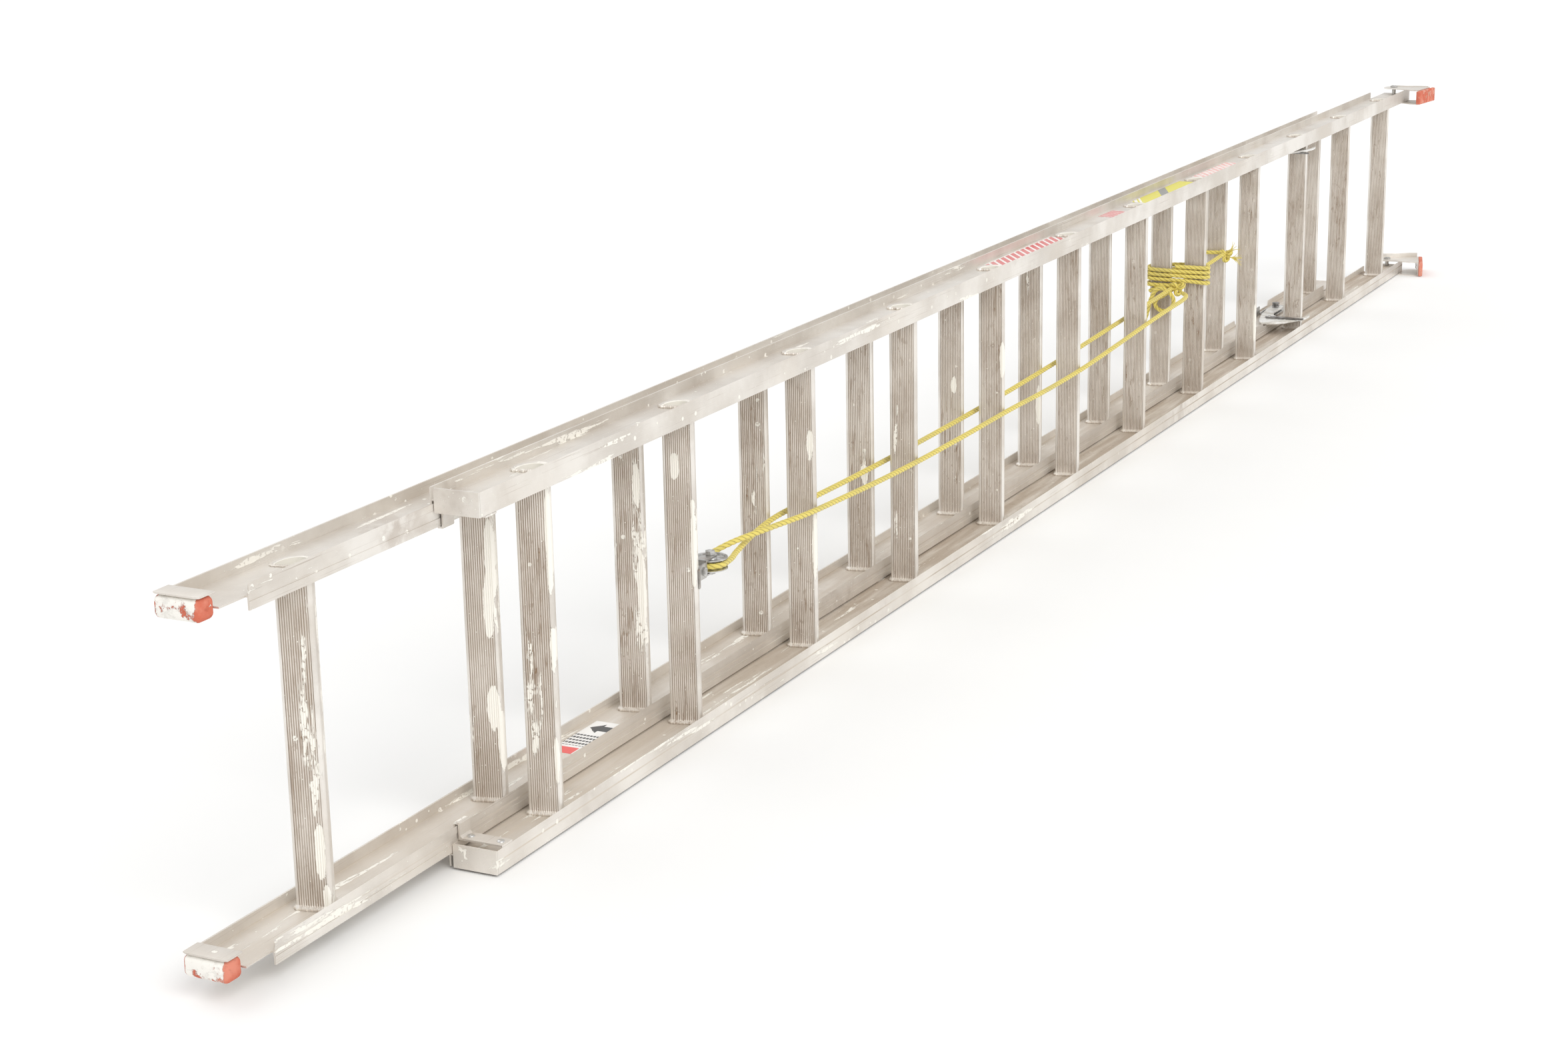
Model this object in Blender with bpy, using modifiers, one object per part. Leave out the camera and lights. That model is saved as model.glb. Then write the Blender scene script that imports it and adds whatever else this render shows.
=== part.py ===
"""Two-section aluminium extension ladder, lying on its lower rail with the rungs upright.

X runs along the ladder from the fly section's top end (-X) to the shoes (+X), -Y is the front, +Z is up.
The base section is in front, the fly section slides along X behind it. All sizes are in metres.
"""

import math

import bmesh
import bpy
from mathutils import Matrix, Vector
from mathutils.geometry import convex_hull_2d

# Where the first base rung's axis and the lower base web stand in the frame
BASE_X = -1.5208
BASE_Y = 0.0002
BASE_Z = 0.0150

# Both sections
RUNG_PITCH = 0.3048
RUNG_COUNT = 12
RAIL_DEPTH = 0.057
FLANGE_HEIGHT = 0.025
FLANGE_WALL = 0.0020
WEB_WALL = 0.0018
RAIL_END = 0.141  # from the last rung's axis to the rail's end
GAP = 0.0003  # between pieces that touch

# Hollow D rung, its tread turned to be level when the ladder leans
TREAD_WIDTH = 0.036
RUNG_DEPTH = 0.030
RUNG_CORNER = 0.004
RUNG_WALL = 0.0016
TREAD_TILT = math.radians(15)
RUNG_SHIFT = -0.0025  # from the rail's centre towards the front
RUNG_STUB = 0.0018  # how far a rung's end stands out of the web

# Base section
WEB_SPAN = 0.365  # between the centre planes of the two base webs
END_PLATE_WALL = 0.0020
GUIDE_WALL = 0.0020
GUIDE_WIDTH = 0.019
GUIDE_SETBACK = 0.009
GUIDE_CLEARANCE = 0.0008
GUIDE_LIP = 0.009

# Fly section: its rails stand inboard of the base rails, and its front flange runs inside their back flange
NEST_LIFT = 0.0021  # from the base web to the edge of the fly's front flange
NEST_CLEARANCE = 0.0012
HOOK_OFFSET = 0.0235  # a hook on the fly stands this much ahead of the rung that carries it
PHOTO_STEPS = 1  # pitches that the fly stands out of the base at rest
OMITTED_RUNG = 11
FLY_FLANGE_CUT = 0.037
FLY_FOOT_CUT = 0.118  # the fly's front flange ends this far from its foot end, on a slant
FLY_FOOT_SLANT = 0.022
BASE_FOOT_CUT = 0.108  # the base's back flange leaves room for the shoe
GROOVE_HALF = 0.0045
GROOVE_DEPTH = 0.0006

# Rubber end caps
CAP_LENGTH = 0.024
CAP_LIP = 0.016
CAP_WALL = 0.0025
CAP_OVERHANG = 0.0015

# Swivel shoes
SHOE_REACH = 0.0660  # from the pivot to the outer face of the foot plate
SHOE_TAIL = 0.018
SHOE_WIDTH = 0.068
SHOE_TAIL_WIDTH = 0.040
SHOE_WALL = 0.0020
SHOE_CLEARANCE = 0.0005
PAD_LENGTH = 0.090
PAD_THICKNESS = 0.008
SHOE_BOLT_RADIUS = 0.0040
SHOE_BOLT_HEAD = 0.0075
SHOE_BOLT_HEAD_HEIGHT = 0.0035
SHOE_PIVOT_SETBACK = 0.020
SHOE_SWING = {"lower": math.radians(76), "upper": math.radians(97)}  # from straight out towards the front

# Rung locks
LOCK_PIN_FORWARD = 0.0718  # from the carried rung's axis to the pin
LOCK_PIN_RADIUS = 0.0040
LOCK_PIN_HEAD = 0.0070
LOCK_BRACKET_LENGTH = 0.100
LOCK_BRACKET_WIDTH = 0.036
LOCK_BRACKET_WALL = 0.0020
HOOK_LEVEL = 0.0050  # from the fly web's centre plane to the hook's underside
HOOK_WALL = 0.0035
HOOK_CLEARANCE = 0.0010
HOOK_EYE = 0.013
HOOK_WINDOW = (-0.105, 0.108)  # the gap it swings through in the flanges, from the carried rung's axis
HOOK_WINDOW_SLANT = 0.012
TONGUE_WALL = 0.0025
TONGUE_LENGTH = 0.062
TONGUE_WIDTH = 0.014
TONGUE_STUD = 0.0030
TONGUE_PLACE = (-0.038, -0.0188)  # from the carried rung's axis and the fly rail's centre
SPRING_WIRE = 0.0010
SPRING_RADIUS = 0.0062
SPRING_TURNS = 3
SPRING_PITCH = 0.00135

# Pulley on the second base rung
PULLEY_RUNG = 2
PULLEY_LEVEL = 0.170  # above the lower base web
PULLEY_SIDE = -0.003
HOUSING_REACH = 0.0360  # from the hanger bolt to the wheel's axle
SHEAVE_RADIUS = 0.0200
SHEAVE_GROOVE = 0.0130
SHEAVE_HALF = 0.0068
SHEAVE_RIM = 0.0018
CHEEK_WALL = 0.0018
CHEEK_WIDTH = 0.016
CHEEK_CLEARANCE = 0.0007
AXLE_RADIUS = 0.0032
STRAP_WALL = 0.0018
STRAP_HEIGHT = 0.022
EAR_OVERHANG = 0.0065  # past the hanger bolt's axis
EYE_RADIUS = 0.0055
HANGER_BOLT_RADIUS = 0.0030
HANGER_GAP = 0.0029  # from the strap to the housing's eye

# Rope
ROPE_RADIUS = 0.0035
LASHING_TURNS = 3
LASHING_LEVEL = 0.2128
LASHED_BASE_RUNG = 8
LASHED_FLY_RUNG = 9
KNOT_RUNG = 10
KNOT_RADIUS = 0.0105

# Worked out from the sizes above
NEST_STEP = FLANGE_HEIGHT / 2 + WEB_WALL / 2 + NEST_LIFT
FLY_Y = RAIL_DEPTH - 2 * FLANGE_WALL - NEST_CLEARANCE
FLY_X = -PHOTO_STEPS * RUNG_PITCH - HOOK_OFFSET
HALF_DEPTH = RAIL_DEPTH / 2
HALF_FLANGE = FLANGE_HEIGHT / 2
FLY_SPAN = WEB_SPAN - 2 * NEST_STEP
LENGTH = (RUNG_COUNT - 1) * RUNG_PITCH
HANGER_REACH = RUNG_DEPTH / 2 + STRAP_WALL + HANGER_GAP + EYE_RADIUS  # from the rung's axis to the hanger bolt
PULLEY_REACH = HANGER_REACH + HOUSING_REACH
SIDES = ("lower", "upper")

PARTS = "extension_ladder"
CUTTERS = "cutters"

# How an outline drawn in X and Y is turned to stand across each axis
TURNS = {"X": Matrix(((0, 0, 1), (1, 0, 0), (0, 1, 0))), "Y": Matrix(((1, 0, 0), (0, 0, -1), (0, 1, 0))),
         "Z": Matrix.Identity(3)}


def clear_scene():
    for obj in list(bpy.data.objects):
        bpy.data.objects.remove(obj)
    for name in (PARTS, CUTTERS):
        bpy.context.scene.collection.children.link(bpy.data.collections.new(name))


def finish(name, colour, roughness, metallic):
    made = bpy.data.materials.new(name)
    made.use_nodes = True
    shader = made.node_tree.nodes["Principled BSDF"]
    shader.inputs["Base Color"].default_value = (*colour, 1)
    shader.inputs["Roughness"].default_value = roughness
    shader.inputs["Metallic"].default_value = metallic
    return made


def place(x, y, z):
    """A point given from the first base rung, the base rails' centre and the lower base web."""
    return Vector((BASE_X + x, BASE_Y + y, BASE_Z + z))


def mirrored(side, z):
    """A height above the lower web, or the same height in from the upper web."""
    return z if side == "lower" else WEB_SPAN - z


def link(obj, mat, collection=PARTS):
    bpy.data.collections[collection].objects.link(obj)
    if mat:
        obj.data.materials.append(mat)
    return obj


def mesh_object(name, shape, mat, location=(0, 0, 0), collection=PARTS):
    """An object from a bmesh, its faces turned outwards."""
    bmesh.ops.recalc_face_normals(shape, faces=shape.faces)
    mesh = bpy.data.meshes.new(name)
    shape.to_mesh(mesh)
    shape.free()
    obj = bpy.data.objects.new(name, mesh)
    obj.location = location
    return link(obj, mat, collection)


def prism(name, outlines, low, high, mat, location=(0, 0, 0), axis="Z", collection=PARTS):
    """Flat outlines extruded between two levels, one inside another being a hole.

    On axis X an outline is in (y, z), on Y in (x, z), on Z in (x, y). The filled curve is made a mesh, because most
    of these are cut afterwards.
    """
    curve = bpy.data.curves.new(name, "CURVE")
    curve.dimensions = "2D"
    curve.fill_mode = "BOTH"
    curve.extrude = (high - low) / 2
    for outline in outlines:
        spline = curve.splines.new("POLY")
        spline.points.add(len(outline) - 1)
        for point, (a, b) in zip(spline.points, outline):
            point.co = (a, b, 0, 1)
        spline.use_cyclic_u = True
    drawn = bpy.data.objects.new(name, curve)
    bpy.data.collections[collection].objects.link(drawn)
    bpy.context.view_layer.update()
    mesh = bpy.data.meshes.new_from_object(drawn.evaluated_get(bpy.context.evaluated_depsgraph_get()))
    bpy.data.objects.remove(drawn)
    bpy.data.curves.remove(curve)
    shape = bmesh.new()
    shape.from_mesh(mesh)
    bpy.data.meshes.remove(mesh)
    bmesh.ops.remove_doubles(shape, verts=shape.verts, dist=0.000002)
    return standing(name, shape, low, high, mat, location, axis, collection)


def standing(name, shape, low, high, mat, location, axis, collection):
    """Turns a shape that is centred on its own Z to an axis, between two levels on it."""
    middle = Vector([(low + high) / 2 if letter == axis else 0 for letter in "XYZ"])
    bmesh.ops.transform(shape, matrix=Matrix.Translation(middle) @ TURNS[axis].to_4x4(), verts=shape.verts)
    return mesh_object(name, shape, mat, location, collection)


def rod(name, radius, low, high, mat, location, axis="Z", sides=20, collection=PARTS):
    """A cylinder between two levels along an axis."""
    shape = bmesh.new()
    bmesh.ops.create_cone(shape, cap_ends=True, segments=sides, radius1=radius, radius2=radius, depth=abs(high - low))
    return standing(name, shape, low, high, mat, location, axis, collection)


def blocks(name, corners, mat, location, collection=PARTS):
    """One box for each pair of opposite corners."""
    shape = bmesh.new()
    for low, high in corners:
        low, high = Vector(low), Vector(high)
        size = Matrix.Diagonal((*(high - low), 1))
        bmesh.ops.create_cube(shape, size=1, matrix=Matrix.Translation((low + high) / 2) @ size)
    return mesh_object(name, shape, mat, location, collection)


def circle(radius, sides, centre=(0, 0), start=0.0, sweep=2 * math.pi):
    """Points on an arc; a full circle leaves out its last point."""
    steps = sides if abs(sweep) > 6.28 else sides - 1
    angles = [start + sweep * i / steps for i in range(sides)]
    return [(centre[0] + radius * math.cos(a), centre[1] + radius * math.sin(a)) for a in angles]


def boolean(obj, other, operation):
    modifier = obj.modifiers.new(operation.lower(), "BOOLEAN")
    modifier.operation = operation
    modifier.object = other
    other.hide_render = True
    other.display_type = "WIRE"


def d_outline(offset=0.0):
    """The rung's section: a tread with two rounded corners, closed by half an ellipse.

    s runs across the tread and t out of it; both are turned so that the tread faces -X, tilted to the front.
    """
    half, top, corner = TREAD_WIDTH / 2 + offset, RUNG_DEPTH / 2 + offset, RUNG_CORNER + offset
    spring = top - corner
    points = circle(corner, 4, (half - corner, spring), 0.25, 1.2)
    points += circle(corner, 4, (corner - half, spring), math.pi - 1.45, 1.2)
    depth = spring + RUNG_DEPTH / 2 + offset
    for i in range(11):
        angle = math.pi + math.pi * i / 10
        points.append((half * math.cos(angle), spring + depth * math.sin(angle)))
    c, s = math.cos(TREAD_TILT), math.sin(TREAD_TILT)
    return [(-s * a - c * t, c * a - s * t + RUNG_SHIFT) for a, t in points]


def i_outline(grooved):
    """The rail's section in (y, z): a web between two flanges, whose outer faces may have a flat groove."""
    y, inner, z, web = HALF_DEPTH, HALF_DEPTH - FLANGE_WALL, HALF_FLANGE, WEB_WALL / 2
    outer = [(y, -z), (y, z)]
    if grooved:
        deep = y - GROOVE_DEPTH
        outer[1:1] = [(y, -GROOVE_HALF), (deep, -GROOVE_HALF), (deep, GROOVE_HALF), (y, GROOVE_HALF)]
    right = outer + [(inner, z), (inner, web)]
    left = [(-a, -b) for a, b in right]
    return right + [(-inner, web), *left[:-2], (-inner, -z), (-inner, -web)] + [(inner, -web), (inner, -z)]


def rail(name, x_low, x_high, x_first, location, grooved, mat):
    """A rail with a cross edge midway between each two rungs, so that no face takes more than one rung's hole."""
    beam = prism(name, [i_outline(grooved)], x_low, x_high, None, location, "X")
    beam.data.materials.append(mat)
    shape = bmesh.new()
    shape.from_mesh(beam.data)
    for i in range(RUNG_COUNT - 1):
        between = x_first + (i + 0.5) * RUNG_PITCH
        every = shape.verts[:] + shape.edges[:] + shape.faces[:]
        bmesh.ops.bisect_plane(shape, geom=every, plane_co=(between, 0, 0), plane_no=(1, 0, 0))
    shape.to_mesh(beam.data)
    shape.free()
    return beam


def rungs(prefix, numbers, x_first, y, low, high, mat):
    """Hollow rungs, each one flat outline with a hole, extruded along Z."""
    for number in numbers:
        where = place(x_first + (number - 1) * RUNG_PITCH, y, 0)
        prism(f"{prefix}_{number:02d}", [d_outline(), d_outline(-RUNG_WALL)], low, high, mat, where)


def rung_holes(name, numbers, x_first, y):
    """One cutter for every rung hole of a section, long enough for both rails."""
    firsts = [x_first + (number - 1) * RUNG_PITCH for number in numbers]
    outlines = [[(a + x, b) for a, b in d_outline(GAP)] for x in firsts]
    return prism(name, outlines, -HALF_FLANGE, WEB_SPAN + HALF_FLANGE, None, place(0, y, 0), collection=CUTTERS)


def base_section(aluminium):
    numbers = range(1, RUNG_COUNT + 1)
    holes = rung_holes("base_rung_holes", numbers, 0, 0)
    end = LENGTH + RAIL_END
    pivots = rod("shoe_bolt_holes", SHOE_BOLT_RADIUS + GAP, -HALF_FLANGE, WEB_SPAN + HALF_FLANGE, None,
                 place(end - SHOE_PIVOT_SETBACK, 0, 0), collection=CUTTERS)
    behind = HALF_DEPTH - FLANGE_WALL * 2
    start = end - BASE_FOOT_CUT
    foot_notch = [((start, behind, level - FLANGE_HEIGHT), (end + GAP, RAIL_DEPTH, level + FLANGE_HEIGHT))
                  for level in (0, WEB_SPAN)]
    foot = blocks("base_foot_notches", foot_notch, None, place(0, 0, 0), CUTTERS)
    for side in SIDES:
        where = place(0, 0, mirrored(side, 0))
        beam = rail(f"base_rail_{side}", -RAIL_END, end, 0, where, False, aluminium)
        boolean(beam, holes, "DIFFERENCE")
        boolean(beam, pivots, "DIFFERENCE")
        boolean(beam, foot, "DIFFERENCE")
    stub = WEB_WALL / 2 + RUNG_STUB
    rungs("base_rung", numbers, 0, 0, -stub, WEB_SPAN + stub, aluminium)


def end_plates(aluminium):
    """Flat plates that close the base rails' top ends, up to the fly's front flange."""
    back = FLY_Y - HALF_DEPTH - GUIDE_CLEARANCE
    face = -RAIL_END - GAP
    corners = [((face - END_PLATE_WALL, -HALF_DEPTH, -HALF_FLANGE), (face, back, HALF_FLANGE))]
    for side in SIDES:
        blocks(f"base_end_plate_{side}", corners, aluminium, place(0, 0, mirrored(side, 0)))


def guide_brackets(aluminium):
    """Strips on the inner edges of the base flanges that hook over the fly's front flange."""
    flange = FLY_Y - HALF_DEPTH
    low = HALF_FLANGE + GAP
    top = NEST_STEP + HALF_FLANGE + GUIDE_CLEARANCE
    out, back = flange - GUIDE_CLEARANCE, flange + FLANGE_WALL + GUIDE_CLEARANCE
    wall = GUIDE_WALL
    outline = [(-HALF_DEPTH, low), (out, low), (out, top), (back, top), (back, top - GUIDE_LIP),
               (back + wall, top - GUIDE_LIP), (back + wall, top + wall * 0.4), (back + wall * 0.4, top + wall),
               (out - wall * 0.4, top + wall), (out - wall, top + wall * 0.4), (out - wall, low + wall * 2.2),
               (out - wall * 2.2, low + wall), (-HALF_DEPTH, low + wall)]
    near = -RAIL_END + GUIDE_SETBACK
    for side in SIDES:
        turned = [(y, mirrored(side, z)) for y, z in outline]
        prism(f"guide_bracket_{side}", [turned], near, near + GUIDE_WIDTH, aluminium, place(0, 0, 0), "X")


def fly_section(aluminium):
    numbers = [n for n in range(1, RUNG_COUNT + 1) if n != OMITTED_RUNG]
    holes = rung_holes("fly_rung_holes", numbers, FLY_X, FLY_Y)
    x_low, x_high = FLY_X - RAIL_END, FLY_X + LENGTH + RAIL_END
    front, behind = -HALF_DEPTH - GAP, -HALF_DEPTH + FLANGE_WALL * 2
    top_notch = [((x_low - GAP, front, -FLANGE_HEIGHT), (x_low + FLY_FLANGE_CUT, behind, FLANGE_HEIGHT))]
    foot = x_high - FLY_FOOT_CUT
    foot_notch = [(foot, FLANGE_HEIGHT), (foot + FLY_FOOT_SLANT, -FLANGE_HEIGHT), (x_high + GAP, -FLANGE_HEIGHT),
                  (x_high + GAP, FLANGE_HEIGHT)]
    for side in SIDES:
        level = mirrored(side, NEST_STEP)
        where = place(0, FLY_Y, level)
        beam = rail(f"fly_rail_{side}", x_low, x_high, FLY_X, where, True, aluminium)
        boolean(beam, holes, "DIFFERENCE")
        notch = blocks(f"fly_top_notch_{side}", top_notch, None, where, CUTTERS)
        slant = prism(f"fly_foot_notch_{side}", [[(x, z if side == "lower" else -z) for x, z in foot_notch]],
                      front, -HALF_DEPTH + FLANGE_WALL, None, where, "Y", CUTTERS)
        swing = prism(f"fly_hook_window_{side}", [hook_window(side)], -RAIL_DEPTH, RAIL_DEPTH, None,
                      place(0, FLY_Y, 0), "Y", CUTTERS)
        for cutter in (notch, slant, swing):
            boolean(beam, cutter, "DIFFERENCE")
    stub = WEB_WALL / 2 + RUNG_STUB
    rungs("fly_rung", numbers, FLY_X, FLY_Y, NEST_STEP - stub, NEST_STEP + FLY_SPAN + stub, aluminium)


def hook_window(side):
    """The gap in the fly's flanges that the hook swings through, in (x, z) from the lower base web."""
    rung_x = carried_rung()
    low, high = rung_x + HOOK_WINDOW[0], rung_x + HOOK_WINDOW[1]
    floor, top = HOOK_LEVEL - HOOK_CLEARANCE, 2 * HALF_FLANGE
    outline = [(low, floor), (high, floor), (high + HOOK_WINDOW_SLANT, top), (low - HOOK_WINDOW_SLANT, top)]
    return [(x, mirrored(side, NEST_STEP + z)) for x, z in outline]


def carried_rung():
    """Where the base rung stands that the hooks rest on."""
    return (OMITTED_RUNG - 2) * RUNG_PITCH


def end_caps(rubber):
    """U-shaped caps over the fly rails' top ends, open towards the rail."""
    end = FLY_X - RAIL_END
    inner, outer = HALF_FLANGE + GAP, HALF_FLANGE + CAP_WALL
    soft = 0.006
    outline = [(end - CAP_LENGTH, -outer + soft), (end - CAP_LENGTH + soft, -outer), (end + CAP_LIP, -outer),
               (end + CAP_LIP, -inner), (end - GAP, -inner), (end - GAP, inner), (end + CAP_LIP, inner),
               (end + CAP_LIP, outer), (end - CAP_LENGTH + soft, outer), (end - CAP_LENGTH, outer - soft)]
    front, back = -HALF_DEPTH + FLANGE_WALL * 2.5, HALF_DEPTH + CAP_OVERHANG
    for side in SIDES:
        where = place(0, FLY_Y, mirrored(side, NEST_STEP))
        prism(f"fly_cap_{side}", [outline], front, back, rubber, where, "Y")


def shoes(steel, rubber, bolt_steel):
    """Swivel shoes: a U bracket whose legs straddle the flange edges, a pad on its foot plate, and a pivot bolt."""
    pivot_x = LENGTH + RAIL_END - SHOE_PIVOT_SETBACK
    inner = HALF_FLANGE + SHOE_CLEARANCE
    outer = inner + SHOE_WALL
    reach, tail = SHOE_REACH, -SHOE_TAIL
    channel = [(tail, -outer), (reach, -outer), (reach, outer), (tail, outer), (tail, inner),
               (reach - SHOE_WALL, inner), (reach - SHOE_WALL, -inner), (tail, -inner)]
    half, narrow = SHOE_WIDTH / 2, SHOE_TAIL_WIDTH / 2
    plan = [(tail - GAP, -narrow / 2), (-0.4 * SHOE_TAIL, -narrow), (reach * 0.3, -narrow * 1.1),
            (reach * 0.72, -half), (reach + GAP, -half), (reach + GAP, half), (reach * 0.72, half),
            (reach * 0.3, narrow * 1.1), (-0.4 * SHOE_TAIL, narrow), (tail - GAP, narrow / 2)]
    pad_low = reach + GAP
    pad = [(pad_low, -PAD_LENGTH / 2), (pad_low + PAD_THICKNESS * 0.7, -PAD_LENGTH / 2),
           (pad_low + PAD_THICKNESS, -PAD_LENGTH / 2 + PAD_THICKNESS * 0.4),
           (pad_low + PAD_THICKNESS, PAD_LENGTH / 2 - PAD_THICKNESS * 0.4),
           (pad_low + PAD_THICKNESS * 0.7, PAD_LENGTH / 2), (pad_low, PAD_LENGTH / 2)]
    for side in SIDES:
        where = place(pivot_x, 0, mirrored(side, 0))
        turn = -SHOE_SWING[side]
        bracket = prism(f"shoe_bracket_{side}", [channel], -half, half, steel, where, "Y")
        shape = prism(f"shoe_plan_{side}", [plan], -2 * outer, 2 * outer, None, where, collection=CUTTERS)
        hole = rod(f"shoe_hole_{side}", SHOE_BOLT_RADIUS + GAP, -2 * outer, 2 * outer, None, where, collection=CUTTERS)
        boolean(bracket, shape, "INTERSECT")
        boolean(bracket, hole, "DIFFERENCE")
        sole = prism(f"shoe_pad_{side}", [pad], -outer, outer, rubber, where)
        for obj in (bracket, shape, sole):
            obj.rotation_euler.z = turn
        seat = outer + GAP
        bolt = rod(f"shoe_bolt_{side}", SHOE_BOLT_RADIUS, -outer, seat + SHOE_BOLT_HEAD_HEIGHT, bolt_steel, where)
        head = rod(f"shoe_bolt_head_{side}", SHOE_BOLT_HEAD, seat, seat + SHOE_BOLT_HEAD_HEIGHT * 0.8,
                   None, where, sides=6, collection=CUTTERS)
        boolean(bolt, head, "UNION")


def lock_levels():
    """Heights above the lower base web: bracket base, hook underside, tongue underside, pin top."""
    floor = NEST_STEP + WEB_WALL / 2 + GAP
    hook = NEST_STEP + HOOK_LEVEL
    tongue = hook + HOOK_WALL + GAP
    return floor, hook, tongue, tongue + (SPRING_TURNS + 1) * SPRING_PITCH + SPRING_WIRE


# The hook plate in plan. Its crown is counted from the carried rung's axis and the fly rail's centre, its finger and
# its throat from the tread's front and back corners; the rung's own place is cut out of it afterwards
HOOK_CROWN_BACK = [(0.0200, 0.0082), (-0.0460, -0.0038), (-0.0800, -0.0108), (-0.0905, -0.0218)]
HOOK_NECK = (-0.0679, -0.0012)
HOOK_FINGER = [(-0.0522, 0.0118), (-0.0155, -0.0052), (-0.0037, -0.0077), (-0.0007, -0.0027), (-0.0007, 0.0058)]
HOOK_THROAT = [(0.0052, -0.0050), (-0.0033, 0.0010), (-0.0013, 0.0120), (0.0112, 0.0230)]
HOOK_CROWN_FRONT = (0.0200, -0.0118)


def tread_corner(across):
    """A corner of the tread in plan, from the rung's axis; across is 1 at the back and -1 at the front."""
    c, s = math.cos(TREAD_TILT), math.sin(TREAD_TILT)
    a, t = across * TREAD_WIDTH / 2, RUNG_DEPTH / 2
    return -s * a - c * t, c * a - s * t + RUNG_SHIFT


def hook_outline(pin):
    front, back, crown = tread_corner(-1), tread_corner(1), (0, FLY_Y)
    points = [(p, crown) for p in HOOK_CROWN_BACK] + [(HOOK_NECK, back)] + [(p, front) for p in HOOK_FINGER]
    points += [(p, back) for p in HOOK_THROAT] + [(HOOK_CROWN_FRONT, crown)]
    eye = circle(HOOK_EYE, 9, pin, -1.7, 3.3)
    return eye + [(carried_rung() + x + x0, y + y0) for (x, y), (x0, y0) in points]


def rung_locks(steel, dark_steel):
    """On each fly rail: a bracket with a pin, a hook that swings on the pin, its tongue and its torsion spring."""
    rung_x = carried_rung()
    pin = (rung_x + LOCK_PIN_FORWARD, FLY_Y)
    floor, hook_low, tongue_low, pin_top = lock_levels()
    stud = (rung_x + TONGUE_PLACE[0], FLY_Y + TONGUE_PLACE[1])
    half, wall = LOCK_BRACKET_WIDTH / 2, LOCK_BRACKET_WALL
    channel = [(-half, floor), (half, floor), (half, hook_low - GAP), (half - wall, hook_low - GAP),
               (half - wall, floor + wall), (wall - half, floor + wall), (wall - half, hook_low - GAP),
               (-half, hook_low - GAP)]
    tongue = circle(TONGUE_WIDTH / 2, 8, (0, 0), 0, math.pi)
    tongue += circle(TONGUE_WIDTH / 2 * 0.7, 6, (0, -TONGUE_LENGTH), math.pi, math.pi)
    for side in SIDES:
        def level(z):
            return mirrored(side, z)

        at_pin = place(pin[0], pin[1], 0)
        bracket_outline = [(y, level(z)) for y, z in channel]
        prism(f"lock_bracket_{side}", [bracket_outline], -LOCK_BRACKET_LENGTH / 2, LOCK_BRACKET_LENGTH / 2, steel,
              at_pin, "X")
        post = rod(f"lock_pin_{side}", LOCK_PIN_RADIUS, level(floor + wall + GAP), level(pin_top), dark_steel, at_pin,
                   sides=16)
        head = rod(f"lock_pin_head_{side}", LOCK_PIN_HEAD, level(pin_top - 0.0002), level(pin_top + 0.0022),
                   None, at_pin, sides=16, collection=CUTTERS)
        boolean(post, head, "UNION")
        flat = [(x - pin[0], y - pin[1]) for x, y in hook_outline(pin)]
        faces = sorted((level(hook_low), level(hook_low + HOOK_WALL)))
        hook = prism(f"lock_hook_{side}", [flat], *faces, steel, at_pin)
        bore = rod(f"lock_hook_bore_{side}", LOCK_PIN_RADIUS + GAP, level(0), level(pin_top * 2), None, at_pin,
                   sides=16, collection=CUTTERS)
        at_stud = place(stud[0], stud[1], 0)
        boss = rod(f"lock_stud_{side}", TONGUE_STUD, level(hook_low + GAP), level(tongue_low + TONGUE_WALL + 0.001),
                   None, at_stud, sides=14, collection=CUTTERS)
        rung = prism(f"lock_hook_mouth_{side}", [d_outline(HOOK_CLEARANCE)], 0, WEB_SPAN, None,
                     place(rung_x, 0, 0), collection=CUTTERS)
        boolean(hook, bore, "DIFFERENCE")
        boolean(hook, rung, "DIFFERENCE")
        boolean(hook, boss, "UNION")
        faces = sorted((level(tongue_low), level(tongue_low + TONGUE_WALL)))
        flipper = prism(f"lock_tongue_{side}", [tongue], *faces, dark_steel, at_stud)
        eye = rod(f"lock_tongue_bore_{side}", TONGUE_STUD + GAP, level(0), level(pin_top * 2), None, at_stud,
                  sides=14, collection=CUTTERS)
        boolean(flipper, eye, "DIFFERENCE")
        torsion_spring(f"lock_spring_{side}", at_pin, level(tongue_low + SPRING_WIRE / 2), side, dark_steel)


def torsion_spring(name, location, start, side, mat):
    """A helix round the pin, wound away from the hook, ending in a short straight leg."""
    rise = SPRING_PITCH if side == "lower" else -SPRING_PITCH
    per_turn = 12
    points = []
    for i in range(SPRING_TURNS * per_turn + 1):
        angle = math.pi + 2 * math.pi * i / per_turn
        height = start + rise * i / per_turn
        points.append((SPRING_RADIUS * math.cos(angle), SPRING_RADIUS * math.sin(angle), height))
    points.insert(0, (-SPRING_RADIUS, SPRING_RADIUS * 0.9, start))
    wire(name, points, SPRING_WIRE / 2, mat, location, 1)


def wire(name, points, radius, mat, location, resolution):
    curve = bpy.data.curves.new(name, "CURVE")
    curve.dimensions = "3D"
    curve.bevel_depth = radius
    curve.bevel_resolution = resolution
    curve.use_fill_caps = True
    spline = curve.splines.new("POLY")
    spline.points.add(len(points) - 1)
    for point, co in zip(spline.points, points):
        point.co = (*co, 1)
    obj = bpy.data.objects.new(name, curve)
    obj.location = location
    return link(obj, mat)


def pulley_point(x, y, z):
    """A point given from the pulley rung's axis at the pulley's height."""
    return place((PULLEY_RUNG - 1) * RUNG_PITCH + x, PULLEY_SIDE + y, PULLEY_LEVEL + z)


def pulley(steel, zinc):
    strap_and_hanger(steel, zinc)
    pulley_housing(steel, zinc)
    sheave(zinc)


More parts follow.
